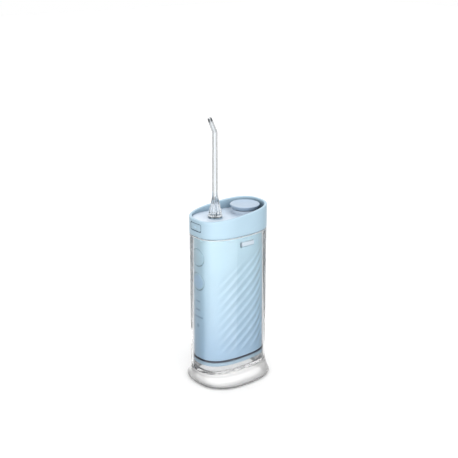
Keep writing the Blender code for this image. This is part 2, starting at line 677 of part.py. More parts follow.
def pump_body():
    """Cylinder and valve head of the pump, with its two valves."""
    cylinder = turned("pump_cylinder", [
        (5.0, CYLINDER_Z[0]), (5.0, CYLINDER_Z[1]), (3.2, CYLINDER_Z[1]), (3.2, CYLINDER_Z[0]),
    ], "white_plastic", closed=True)
    place(cylinder, 0, PUMP_Y, 0)
    head = box("pump_head", (-8.0, 8.0), (PUMP_Y - 5.4, PUMP_Y + 5.4), HEAD_Z, "white_plastic")
    cut(head, place(pin("outlet_bore", 2.2, (90, 105)), 0, PUMP_Y, 0))
    cut(head, along_x(pin("inlet_bore", 1.9, (0, 10)), -10, PUMP_Y, sum(HEAD_Z) / 2))
    outlet = turned("outlet_valve", [(1.0, 95.0), (1.0, 98.6), (1.8, 99.4), (1.8, 100.4)], "silicone", count=16)
    place(outlet, 0, PUMP_Y, 0)
    inlet = turned("inlet_valve", [(1.5, 0), (1.5, 0.9), (0.8, 1.6), (0.8, 3.6)], "silicone", count=16)
    along_x(inlet, -7.2, PUMP_Y, sum(HEAD_Z) / 2)


def motor():
    """Direct-current motor can with its front boss."""
    length = MOTOR_Y[1] - MOTOR_Y[0]
    can = turned("motor", [(MOTOR_RADIUS - 1.0, 0), (MOTOR_RADIUS, 1.0), (MOTOR_RADIUS, length),
                           (3.0, length), (3.0, length + 1.6)], "steel", count=32)
    along_y(can, 0, MOTOR_Y[0], MOTOR_Z)


def inner_frame():
    """Chassis plate that carries the motor, gears, pump, battery rails and circuit board."""
    frame = box("inner_frame", (-13.2, 13.2), FRAME_Y, (26.0, 90.0), "white_plastic")
    for side in (-1, 1):
        for height in BOSS_Z:
            label = "{}_{}".format("left" if side < 0 else "right", round(height))
            rail = sorted((side * 9.8, side * 11.0))
            boss = sorted((side * 9.2, side * 12.2))
            join(frame, box("rail_" + label, rail, (-16.8, 8.0), (height - 2, height + 2)))
            join(frame, box("boss_" + label, boss, (-17.0, -13.0), (height - 2, height + 2)))
        for height in POST_Z:
            post = pin("post_{}_{}".format(side, round(height)), 1.9, (0, COVER_Y[0] - GAP - 8.5), count=16)
            join(frame, along_y(post, side * POST_X, 8.5, height))
    cut(frame, box("pump_notch", (-6.0, 6.0), (0, 20), (59.0, 95)))
    cut(frame, along_y(pin("motor_boss_hole", 3.3, (0, 8)), 0, 5, MOTOR_Z))
    for side in (-1, 1):
        for height in BOSS_Z:
            hole = pin("boss_hole_{}_{}".format(side, round(height)), 1.1, (0, 4.4), count=12)
            cut(frame, along_y(hole, side * BOSS_X, -18, height))
        for height in POST_Z:
            hole = pin("post_hole_{}_{}".format(side, round(height)), 1.1, (0, 6), count=12)
            cut(frame, along_y(hole, side * POST_X, 12.5, height))


def screw(name, x, y, z, direction):
    """Small pan-head screw with its head at y and its shank along direction * Y."""
    piece = turned(name, [(1.7, 0), (1.7, 1.2), (0.8, 1.2), (0.8, 4.6)], "steel", count=16)
    piece.rotation_euler = (-direction * pi / 2, 0, 0)
    place(piece, x, y, z)


def gear_cover():
    """Bearing plate behind the gears, held to the chassis posts by four screws."""
    cover = box("gear_cover", (-13.0, 13.0), COVER_Y, (27.0, 63.0), "white_plastic")
    cut(cover, along_y(pin("axle_hole", 1.8, (0, 8)), 0, 14, GEAR_Z))
    number = 1
    for side in (-1, 1):
        for height in POST_Z:
            hole = pin("cover_hole_{}".format(number), 1.1, (0, 8), count=12)
            cut(cover, along_y(hole, side * POST_X, 14, height))
            screw("cover_screw_{}".format(number), side * POST_X, COVER_Y[1] + GAP + 1.2, height, -1)
            number += 1


# ---------------------------------------------------------------- electronics and plumbing

def circuit_board():
    """Board behind the buttons, with a switch for each button and four screws."""
    board = box("circuit_board", (-BOARD_HALF_WIDTH, BOARD_HALF_WIDTH), BOARD_Y, BOARD_Z, "board_green")
    number = 1
    for side in (-1, 1):
        for height in BOSS_Z:
            hole = pin("board_hole_{}".format(number), 1.1, (0, 5), count=12)
            cut(board, along_y(hole, side * BOSS_X, -20, height))
            screw("board_screw_{}".format(number), side * BOSS_X, BOARD_Y[0] - GAP - 1.2, height, 1)
            number += 1
    for name, height in (("power_switch", POWER_Z), ("mode_switch", MODE_Z)):
        switch = box(name, (-3, 3), (-22.2, BOARD_Y[0] - GAP), (height - 3, height + 3), "black_plastic")
        join(switch, along_y(pin(name + "_plunger", 1.5, (0, 1.0), count=16), 0, -22.6, height))


def front_lights():
    """Light guides from the board to the front of the shell."""
    back = BOARD_Y[0] - GAP
    for name, (height, half_width) in LIGHTS.items():
        span = (height - LIGHT_HALF_HEIGHT, height + LIGHT_HALF_HEIGHT)
        guide = box(name, (-half_width, half_width), (-30, back), span, "white_plastic")
        combine(guide, casing_block(name + "_face", SHELL_INSET), "INTERSECT")
    length = 28.6 + back
    along_y(pin("charge_light", CHARGE_LIGHT_RADIUS, (0, length), "white_plastic", count=16),
            0, -28.6, CHARGE_LIGHT_Z)


def battery():
    """Cylindrical lithium cell with its raised terminal."""
    cell = turned("battery", [
        (BATTERY_RADIUS, BATTERY_Z[0]), (BATTERY_RADIUS, BATTERY_Z[1]),
        (2.8, BATTERY_Z[1]), (2.8, BATTERY_Z[1] + 0.8),
    ], "battery_wrap", count=32)
    place(cell, 0, BATTERY_Y, 0)


def plumbing():
    """Intake filter and the two water tubes."""
    filter_disc = pin("intake_filter", 3.1, (17.5, 18.7), "steel")
    place(filter_disc, SUCTION_X + 1.6, SUCTION_Y, 0)
    inlet_z = sum(HEAD_Z) / 2
    tube_along("suction_tube", [
        (SUCTION_X, SUCTION_Y, 19.3), (SUCTION_X, SUCTION_Y, 52), (SUCTION_X, SUCTION_Y, 84),
        (SUCTION_X, 5.0, 91), (-12.6, 8.8, inlet_z - 1.2), (-10.9, 10.6, inlet_z), (-8.3, PUMP_Y, inlet_z),
    ], 1.7, "silicone", steps=4)
    tube_along("pressure_hose", [
        (0, PUMP_Y, HEAD_Z[1] + GAP), (0, PUMP_Y, 106), (0, 8.2, 112), (0, 2.5, 115.4), (0, -5, 116.2),
        (0, -10.4, 117.0), (0, NOZZLE_Y, 118.6), (0, NOZZLE_Y, SOCKET_BOTTOM - 2 * GAP),
    ], 2.0, "silicone", steps=4)


def build():
    clear_scene()
    tank_sleeve()
    tank_foot()
    foot_pad()
    body_shell()
    collar()
    deck()
    end_cap()
    tank_seal()
    nozzle()
    nozzle_seat()
    fill_parts()
    round_button("power_button", POWER_Z, "light_blue")
    round_button("mode_button", MODE_Z, "light_blue")
    nozzle_release()
    side_catch()
    charging_port()
    gear_pair()
    connecting_rod()
    piston()
    pump_body()
    motor()
    inner_frame()
    gear_cover()
    circuit_board()
    front_lights()
    battery()
    plumbing()


build()
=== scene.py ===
"""Looks of a telescopic pocket water flosser: a blue pump handle in a clear tank sleeve.

Lengths are in millimetres until MM turns them into metres. +Z is up and the buttons face -Y.
"""
import json
from math import cos, hypot, pi, radians, sin

import bmesh
import bpy
from mathutils import Matrix, Vector


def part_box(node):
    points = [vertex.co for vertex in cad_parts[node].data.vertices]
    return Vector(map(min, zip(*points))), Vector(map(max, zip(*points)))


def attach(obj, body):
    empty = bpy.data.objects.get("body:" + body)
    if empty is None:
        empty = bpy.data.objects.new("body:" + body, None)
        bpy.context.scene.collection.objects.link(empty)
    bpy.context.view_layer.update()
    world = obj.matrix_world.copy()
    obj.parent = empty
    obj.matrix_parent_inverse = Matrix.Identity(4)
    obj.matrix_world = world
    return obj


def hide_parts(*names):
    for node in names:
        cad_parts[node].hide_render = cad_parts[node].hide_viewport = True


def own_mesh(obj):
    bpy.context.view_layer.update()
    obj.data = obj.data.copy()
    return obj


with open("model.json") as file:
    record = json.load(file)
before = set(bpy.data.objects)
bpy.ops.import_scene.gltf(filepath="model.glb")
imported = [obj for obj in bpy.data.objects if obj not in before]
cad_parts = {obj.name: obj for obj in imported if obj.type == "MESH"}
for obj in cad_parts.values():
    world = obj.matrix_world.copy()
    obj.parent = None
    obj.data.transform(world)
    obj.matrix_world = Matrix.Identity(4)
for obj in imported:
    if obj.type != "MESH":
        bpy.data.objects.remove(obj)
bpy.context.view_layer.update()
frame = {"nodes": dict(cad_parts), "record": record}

MM = 0.001


def node_box(name):
    """Lowest and highest corner of a frame node in millimetres."""
    low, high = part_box(name)
    return Vector(low) / MM, Vector(high) / MM


def spans(name, gap):
    """Ranges that a frame node takes in x, y and z, widened by a gap."""
    return [(low - gap, high + gap) for low, high in zip(*node_box(name))]


# Outline: a rounded oblong |x/a|^n + |y/b|^n = 1
SQUARENESS = 2.6
TANK_HIGH = node_box("tank_sleeve")[1]
HALF_WIDTH = TANK_HIGH.x
HALF_LENGTH = TANK_HIGH.y
OUTLINE_POINTS = 192
SHARP_ANGLE = 40           # degrees; shallower edges are shaded smooth

# Tank
TANK_WALL = 1.6
TANK_TOP = TANK_HIGH.z
TANK_BOTTOM = node_box("tank_sleeve")[0].z
TANK_FLOOR_TOP = 13.7
FOOT_HIGH = node_box("tank_foot")[1]
FOOT_TOP = FOOT_HIGH.z
FOOT_EDGE = 2.6
FOOT_BOTTOM = 0.5
FOOT_FLARE = 1.7           # power of the skirt's outward sweep
FOOT_BORE_INSET = 4.2
PAD_TOP = node_box("foot_pad")[1].z
PAD_INSET = 2.4
PAD_BREADTH = 3.0
PAD_GAP = 0.1

# Handle
SHELL_INSET = 2.4
SHELL_WALL = 1.8
SHELL_BOTTOM = node_box("body_shell")[0].z
SHELL_TOP = node_box("body_shell")[1].z
SHELL_ROWS = 190
SHELL_CHAMFER = (0.35, 0.4)  # inwards, upwards
SLOT_GAP = 0.05
WINDOW_DEPTH = 9
PORT_NOTCH = ((-HALF_WIDTH - 1, -HALF_WIDTH + 7), (-5, 5), (124.4, SHELL_TOP + 5))
CATCH_WINDOW = ((14, 22), (-3.6, 9.85), (111.55, 115.75))
COLLAR_BOTTOM = node_box("collar")[0].z
COLLAR_WALL = 2.0
COLLAR_FRONT = (-36, -25)  # depth range of the release window's cut
COLLAR_SIDE = (-25, -15)   # width range of the port window's cut
RIM_HEIGHT = 137.2
RIM_SLOPE = 0.0934
DECK_HEIGHT = 131.9
DECK_SLOPE = -0.047
DECK_THICKNESS = 1.6
NECK_RADIUS = 9.7
NECK_BORE = 7.0
NECK_TOP = 134.6
NECK_BOTTOM = 126.8
SEAT_BORE = 5.5
END_BOTTOM = node_box("end_cap")[0].z
END_TOP = node_box("end_cap")[1].z
END_LIP_TOP = 20.3
SUCTION_PLACE = (-13.2, 4.0)

# Slanting flutes on the broad sides of the shell
FLUTE_PITCH = 7.8          # measured upwards
FLUTE_RISE = 0.77          # climb per millimetre towards the rear
FLUTE_DEPTH = 0.6
FLUTE_CREST = 0.84         # where in each pitch the crest stands
FLUTE_SHARPNESS = 1.7

# Nozzle, stopper and buttons
NOZZLE_Y = -12.5
STEM_RADIUS = 2.6
FLANGE_BOTTOM = 133.5
FLANGE_THICKNESS = 1.2
FLANGE_RADIUS = 5.6
BELL_RADIUS = 5.1
BELL_TOP = 149.5
BELL_TOP_RADIUS = 2.36
TUBE_RADIUS = 2.0
TUBE_TAPER = ((2.33, 151.0), (2.22, 170.0), (2.05, 190.0))  # radius, height
TIP_TAPER = ((0.5, 1.8), (0.96, 1.66), (1.0, 1.5))  # share of the tip, radius
JET_BORE = 0.9
JET_TAPER = ((0.5, 0.85), (0.86, 0.75), (0.9, 0.95), (1.0, 1.05))  # share of the tip, radius
NOZZLE_BEND = 197.0
NOZZLE_TILT = radians(24.4)
NOZZLE_BEND_RADIUS = 4.0
NOZZLE_TIP_LENGTH = 10.8
NOZZLE_RIBS = 12
FILL_Y = 16.0
CAP_RADIUS = 11.5
CAP_BOTTOM = 135.2
PLUG_RADIUS = 6.4
RING_GROOVE = (129.0, 130.6)
BUTTON_RADIUS = 6.7
BUTTON_HOLE_GAP = 0.3
BUTTON_FACE_GAP = 0.25
RELEASE_FACE_GAP = 0.15
SPRING_TURNS = 5.0
SPRING_COIL_RADIUS = 0.95
POWER_Z = sum(c.z for c in node_box("power_button")) / 2
MODE_Z = sum(c.z for c in node_box("mode_button")) / 2


# ---------------------------------------------------------------- mesh helpers

def signed_power(value, exponent):
    """Power that keeps the sign of its base."""
    return abs(value) ** exponent * (1 if value >= 0 else -1)


def outline(half_width, half_length):
    """Evenly spaced (x, y) points round the oblong, starting at the rear."""
    count = OUTLINE_POINTS
    fine = []
    for index in range(count * 8):
        turn = 2 * pi * index / (count * 8)
        fine.append((half_width * signed_power(sin(turn), 2 / SQUARENESS),
                     half_length * signed_power(cos(turn), 2 / SQUARENESS)))
    fine.append(fine[0])
    travelled = [0.0]
    for before, after in zip(fine, fine[1:]):
        travelled.append(travelled[-1] + hypot(after[0] - before[0], after[1] - before[1]))
    points = []
    place = 0
    for index in range(count):
        goal = travelled[-1] * index / count
        while travelled[place + 1] < goal:
            place += 1
        share = (goal - travelled[place]) / (travelled[place + 1] - travelled[place])
        start, stop = fine[place], fine[place + 1]
        points.append((start[0] + (stop[0] - start[0]) * share, start[1] + (stop[1] - start[1]) * share))
    return points


def oblong(half_width, half_length, height, slope=0.0):
    """Level or slanting ring of the outline's points."""
    return [Vector((x, y, height + slope * y)) for x, y in outline(half_width, half_length)]


def ring_at(inset, height, slope=0.0):
    """Oblong ring a distance inside the tank's outer surface."""
    return oblong(HALF_WIDTH - inset, HALF_LENGTH - inset, height, slope)


def circle(radius, height, count=64, centre=(0, 0)):
    """Round ring about a vertical axis."""
    turns = [2 * pi * i / count for i in range(count)]
    return [Vector((centre[0] + radius * sin(t), centre[1] + radius * cos(t), height)) for t in turns]


def fillet(profile, radius, steps=4, closed=False):
    """Round the corners of an (inset, height) outline by up to a radius."""
    rounded = []
    last = len(profile) - 1
    for index, (x, y) in enumerate(profile):
        if not closed and index in (0, last):
            rounded.append((x, y))
            continue
        here = Vector((x, y))
        before = Vector(profile[index - 1]) - here
        after = Vector(profile[(index + 1) % len(profile)]) - here
        reach = min(radius, before.length * 0.49, after.length * 0.49)
        start = here + before.normalized() * reach
        stop = here + after.normalized() * reach
        for step in range(steps + 1):
            t = step / steps
            point = start * (1 - t) ** 2 + here * 2 * t * (1 - t) + stop * t ** 2
            rounded.append((point.x, point.y))
    return rounded


def to_object(name, bm, finish, angle=SHARP_ANGLE):
    """Clean a bmesh, point its faces outwards and make it a named object with a material."""
    bmesh.ops.remove_doubles(bm, verts=bm.verts, dist=1e-7)
    bmesh.ops.recalc_face_normals(bm, faces=bm.faces)
    mesh = bpy.data.meshes.new(name)
    bm.to_mesh(mesh)
    bm.free()
    mesh.materials.append(finish)
    mesh.shade_smooth()
    mesh.set_sharp_from_angle(angle=radians(angle))
    return linked(name, mesh)


def linked(name, data):
    """Object for a mesh, camera or lamp, put in the scene."""
    obj = bpy.data.objects.new(name, data)
    bpy.context.collection.objects.link(obj)
    return obj


def skin(rings, closed=False):
    """Bmesh through equal rings; closed joins the last to the first."""
    bm = bmesh.new()
    loops = [[bm.verts.new(point * MM) for point in ring] for ring in rings]
    pairs = list(zip(loops, loops[1:]))
    if closed:
        pairs.append((loops[-1], loops[0]))
    for lower, upper in pairs:
        count = len(lower)
        for index in range(count):
            after = (index + 1) % count
            bm.faces.new((lower[index], lower[after], upper[after], upper[index]))
    if not closed:
        fan_cap(bm, loops[0])
        fan_cap(bm, loops[-1])
    return bm


def fan_cap(bm, loop):
    """Close a loop with rings shrinking to its middle, so that smooth shading stays even."""
    middle = sum((vert.co for vert in loop), Vector()) / len(loop)
    current = loop
    for share in (0.75, 0.5, 0.25):
        inner = [bm.verts.new(middle + (vert.co - middle) * share) for vert in loop]
        for index in range(len(loop)):
            after = (index + 1) % len(loop)
            bm.faces.new((current[index], current[after], inner[after], inner[index]))
        current = inner
    centre = bm.verts.new(middle)
    for index in range(len(loop)):
        bm.faces.new((current[index], current[(index + 1) % len(loop)], centre))


def turned(name, profile, finish, centre=(0, 0), closed=False, count=64):
    """Round piece from (radius, height) points about a vertical axis."""
    rings = [circle(radius, height, count, centre) for radius, height in profile]
    return to_object(name, skin(rings, closed), finish)


def cutter(name, bm):
    """Bmesh as an object that only shapes others."""
    mesh = bpy.data.meshes.new(name)
    bm.to_mesh(mesh)
    bm.free()
    return linked(name, mesh)


def box_cutter(name, x_range, y_range, z_range, rounding=0.0):
    """Block for cutting or joining, with its corners rounded in every direction."""
    bm = bmesh.new()
    bmesh.ops.create_cube(bm, size=1.0)
    for vert in bm.verts:
        vert.co = Vector([sum(span) / 2 + part * (span[1] - span[0])
                          for part, span in zip(vert.co, (x_range, y_range, z_range))]) * MM
    if rounding:
        bmesh.ops.bevel(bm, geom=bm.edges[:], offset=rounding * MM, segments=5, profile=0.5, affect="EDGES")
    return cutter(name, bm)


def cylinder_cutter(name, radius, start, direction, length, count=64):
    """Cylinder for cutting, from a point along X, Y or Z."""
    bm = bmesh.new()
    bmesh.ops.create_cone(bm, cap_ends=True, segments=count, radius1=radius * MM, radius2=radius * MM,
                          depth=length * MM)
    turn = Vector((0, 0, 1)).rotation_difference(Vector(direction)).to_matrix().to_4x4()
    middle = (Vector(start) + Vector(direction) * length / 2) * MM
    bmesh.ops.transform(bm, matrix=Matrix.Translation(middle) @ turn, verts=bm.verts)
    return cutter(name, bm)


def combine(obj, others, operation):
    """Cut other objects out of one, or join them onto it, for good, then drop them."""
    for other in others:
        change = obj.modifiers.new("shape", "BOOLEAN")
        change.operation = operation
        change.solver = "EXACT"
        change.object = other
    settle(obj)
    for other in others:
        bpy.data.objects.remove(other, do_unlink=True)


def settle(obj):
    """Turn an object's modifiers into its mesh."""
    bpy.context.view_layer.update()
    shape = obj.evaluated_get(bpy.context.evaluated_depsgraph_get())
    mesh = bpy.data.meshes.new_from_object(shape)
    obj.modifiers.clear()
    obj.data = mesh
    mesh.shade_smooth()
    mesh.set_sharp_from_angle(angle=radians(SHARP_ANGLE))


def surface_y(x, inset):
    """Front surface of the oblong at a distance from its middle plane."""
    across = abs(x) / (HALF_WIDTH - inset)
    return -(HALF_LENGTH - inset) * (1 - across ** SQUARENESS) ** (1 / SQUARENESS)


def rim_rise(rings, low):
    """Shear rings so that the foot of the band stays level and its rim slants."""
    for ring in rings:
        for point in ring:
            share = (point.z - low) / (RIM_HEIGHT - low)
            point.z += RIM_SLOPE * point.y * share
    return rings


# ---------------------------------------------------------------- node helper and materials

def add(tree, kind, inputs=None, **settings):
    """Add a node, set its properties and link or set its inputs."""
    made = tree.nodes.new(kind)
    for name, value in settings.items():
        setattr(made, name, value)
    for name, value in (inputs or {}).items():
        socket = made.inputs[name]
        if isinstance(value, bpy.types.NodeSocket):
            tree.links.new(value, socket)
        else:
            socket.default_value = value
    return made


def linear(code):
    """sRGB hex colour as linear RGBA."""
    parts = [int(code[i:i + 2], 16) / 255 for i in (1, 3, 5)]
    return (*[c / 12.92 if c <= 0.04045 else ((c + 0.055) / 1.055) ** 2.4 for c in parts], 1.0)


def new_material(name):
    """Empty node material and its Principled shader."""
    made = bpy.data.materials.new(name)
    made.use_nodes = True
    return made, made.node_tree, made.node_tree.nodes["Principled BSDF"]


# Painted shade: corners and joints that ambient occlusion finds within the reach are darkened towards this
# colour
PAINTED_SHADE_COLOUR = "#56697C"
PAINTED_SHADE_REACH = 9.0
# Painted light: over these heights the shell's blue is painted lighter towards the head
PAINTED_LIGHT_CLIMB = (30.0, 120.0)      # heights over which the shell's blue grows lighter
GLOSS_SPREAD = 0.06
HAZE_FALLOFF = 6.5
EDGE_ONLY = 100.0          # falloff that leaves a wall's edge tint on the outline alone


def fill_ramp(ramp, stops):
    """Set a colour ramp's stops from (position, RGBA) pairs."""
    elements = ramp.color_ramp.elements
    while len(elements) < len(stops):
        elements.new(0.5)
    for element, (position, colour) in zip(elements, stops):
        element.position = position
        element.color = colour


def moulded(name, dark, light, roughness, grain_mm, bump, coat=0.0, painted_light=0.0, painted_shade=0.0):
    """Moulded plastic: slight cloudiness in the colour and a fine spark-eroded grain.

    A lift share adds painted light: the colour grows lighter from the foot to the head of the handle.
    A crease share adds painted shade: an ambient occlusion node darkens the colour in corners and along
    joints, where a satin surface only sees itself.
    """
    made, tree, shader = new_material(name)
    place = add(tree, "ShaderNodeTexCoord").outputs["Object"]
    cloud = add(tree, "ShaderNodeTexNoise", {"Vector": place, "Scale": 1 / (18 * MM), "Detail": 2.0})
    height = add(tree, "ShaderNodeSeparateXYZ", {"Vector": place})
    # Painted light: the colour is painted lighter from the foot up to the head of the handle
    climb = add(tree, "ShaderNodeMapRange", {"Value": height.outputs["Z"], "From Min": PAINTED_LIGHT_CLIMB[0] * MM,
                                             "From Max": PAINTED_LIGHT_CLIMB[1] * MM})
    share = add(tree, "ShaderNodeMix", {"Factor": painted_light, "A": cloud.outputs["Fac"],
                                        "B": climb.outputs["Result"]})
    tint = add(tree, "ShaderNodeMix", {"Factor": share.outputs["Result"], "A": linear(dark),
                                       "B": linear(light)}, data_type="RGBA")
    grain = add(tree, "ShaderNodeTexNoise", {"Vector": place, "Scale": 1 / (grain_mm * MM), "Detail": 3.0})
    gloss = add(tree, "ShaderNodeMapRange", {"Value": grain.outputs["Fac"],
                                             "To Min": roughness - GLOSS_SPREAD,
                                             "To Max": roughness + GLOSS_SPREAD})
    relief = add(tree, "ShaderNodeBump", {"Height": grain.outputs["Fac"], "Strength": bump,
                                          "Distance": 0.03 * MM})
    # Painted shade: ambient occlusion darkens corners and joints towards the shade colour
    occlusion_shade = add(tree, "ShaderNodeAmbientOcclusion", {"Distance": PAINTED_SHADE_REACH * MM}, samples=6)
    depth = add(tree, "ShaderNodeMapRange", {"Value": occlusion_shade.outputs["AO"], "From Min": 0.25, "From Max": 0.95,
                                             "To Min": painted_shade, "To Max": 0.0})
    deep = add(tree, "ShaderNodeMix", {"Factor": depth.outputs["Result"], "A": tint.outputs["Result"],
                                       "B": linear(PAINTED_SHADE_COLOUR)}, data_type="RGBA")
    tree.links.new(deep.outputs["Result"], shader.inputs["Base Color"])
    tree.links.new(gloss.outputs["Result"], shader.inputs["Roughness"])
    tree.links.new(relief.outputs["Normal"], shader.inputs["Normal"])
    shader.inputs["IOR"].default_value = 1.5
    shader.inputs["Coat Weight"].default_value = coat
    shader.inputs["Coat Roughness"].default_value = 0.12
    return made


def clear_plastic(name, ior, roughness, painted_shade_bands, painted_edge_shade, edge_falloff=EDGE_ONLY, haze=(0.0, 0.0),
                  mouth=None):
    """Clear moulding with a faint flow ripple, as polished steel moulds leave.

    The (height, colour) pairs of painted shade give grey bands at set heights, standing in for the dark
    refraction seen where a clear wall is thick.
    Haze is the milky share of light seen square on and what is added where the wall turns away.
    Above the height called mouth the cut edge is matt, so it glows instead of going dark. Where the wall
    turns away from view the colour moves to the edge colour, painted shade for the dark outline refraction
    gives a clear wall.
    """
    made, tree, shader = new_material(name)
    place = add(tree, "ShaderNodeTexCoord").outputs["Object"]
    flow = add(tree, "ShaderNodeTexNoise", {"Vector": place, "Scale": 1 / (9 * MM), "Detail": 1.0})
    relief = add(tree, "ShaderNodeBump", {"Height": flow.outputs["Fac"], "Strength": 0.02,
                                          "Distance": 0.1 * MM})
    tree.links.new(relief.outputs["Normal"], shader.inputs["Normal"])
    height = add(tree, "ShaderNodeSeparateXYZ", {"Vector": place})
    # Painted shade: grey bands of colour at the given heights
    low, high = painted_shade_bands[0][0], painted_shade_bands[-1][0]
    share = add(tree, "ShaderNodeMapRange", {"Value": height.outputs["Z"], "From Min": low * MM,
                                             "From Max": high * MM})
    painted_shade_ramp = add(tree, "ShaderNodeValToRGB", {"Fac": share.outputs["Result"]})
    fill_ramp(painted_shade_ramp, [((level - low) / (high - low), linear(colour)) for level, colour in painted_shade_bands])
    # Painted shade: the colour darkens towards the edge colour where the wall turns away from view
    facing = add(tree, "ShaderNodeLayerWeight", {"Blend": 0.5}).outputs["Facing"]
    edge_shade_share = add(tree, "ShaderNodeMath", {0: facing, 1: edge_falloff}, operation="POWER")
    body = add(tree, "ShaderNodeMix", {"Factor": edge_shade_share.outputs[0], "A": painted_shade_ramp.outputs["Color"],
                                       "B": linear(painted_edge_shade)}, data_type="RGBA")
    tree.links.new(body.outputs["Result"], shader.inputs["Base Color"])
    square_on, edge_gain = haze
    turned_away = add(tree, "ShaderNodeMath", {0: facing, 1: HAZE_FALLOFF}, operation="POWER")
    clear = add(tree, "ShaderNodeMapRange", {"Value": turned_away.outputs[0], "To Min": 1.0 - square_on,
                                             "To Max": 1.0 - square_on - edge_gain})
    share_clear = clear.outputs["Result"]
    if mouth is not None:
        edge = add(tree, "ShaderNodeMapRange", {"Value": height.outputs["Z"], "From Min": (mouth - 0.2) * MM,
                                                "From Max": mouth * MM, "To Min": 1.0, "To Max": 0.72})
        share_clear = add(tree, "ShaderNodeMath", {0: share_clear, 1: edge.outputs["Result"]},
                          operation="MULTIPLY").outputs[0]
    tree.links.new(share_clear, shader.inputs["Transmission Weight"])
    shader.inputs["Roughness"].default_value = roughness
    shader.inputs["IOR"].default_value = ior
    return made


def metal(name, colour, roughness, stretch):
    """Drawn or turned metal: fine lines along one direction."""
    made, tree, shader = new_material(name)
    place = add(tree, "ShaderNodeTexCoord").outputs["Object"]
    lines = add(tree, "ShaderNodeMapping", {"Vector": place, "Scale": stretch})
    grain = add(tree, "ShaderNodeTexNoise", {"Vector": lines.outputs["Vector"], "Scale": 1 / (1.2 * MM),
                                             "Detail": 4.0})
    gloss = add(tree, "ShaderNodeMapRange", {"Value": grain.outputs["Fac"], "To Min": roughness - 0.08,
                                             "To Max": roughness + 0.12})
    tree.links.new(gloss.outputs["Result"], shader.inputs["Roughness"])
    shader.inputs["Base Color"].default_value = linear(colour)
    shader.inputs["Metallic"].default_value = 1.0
    return made


def board_laminate():
    """Glass-epoxy circuit board: green mask over a faint square track pattern."""
    made, tree, shader = new_material("glass_epoxy_board")
    place = add(tree, "ShaderNodeTexCoord").outputs["Object"]
    tracks = add(tree, "ShaderNodeTexBrick", {"Vector": place, "Scale": 1 / (6 * MM), "Mortar Size": 0.03},
                 offset=0.5)
    tracks.inputs["Color1"].default_value = linear("#1B5A35")
    tracks.inputs["Color2"].default_value = linear("#1F6A3D")
    tracks.inputs["Mortar"].default_value = linear("#2E8B55")
    tree.links.new(tracks.outputs["Color"], shader.inputs["Base Color"])
    shader.inputs["Roughness"].default_value = 0.35
    return made


# Painted shade on clear walls: grey bands by height at the foot's edge, under the sleeve and at the nozzle's
# flange, standing in for dark refraction
FOOT_PAINTED_SHADE = [(0.0, "#808080"), (1.6, "#A4A4A4"), (3.8, "#FCFCFC"), (7.6, "#FCFCFC"), (9.2, "#DCDCDC"),
              (11.2, "#F0F0F0")]
SLEEVE_PAINTED_SHADE = [(11.5, "#F0F0F0"), (13.7, "#ECECEC"), (16.0, "#FCFDFE")]
FLANGE_PAINTED_SHADE = [(132.4, "#E8EBED"), (133.4, "#7C848A"), (135.0, "#8E959B"), (136.6, "#E8EBED")]

FINISH = {}


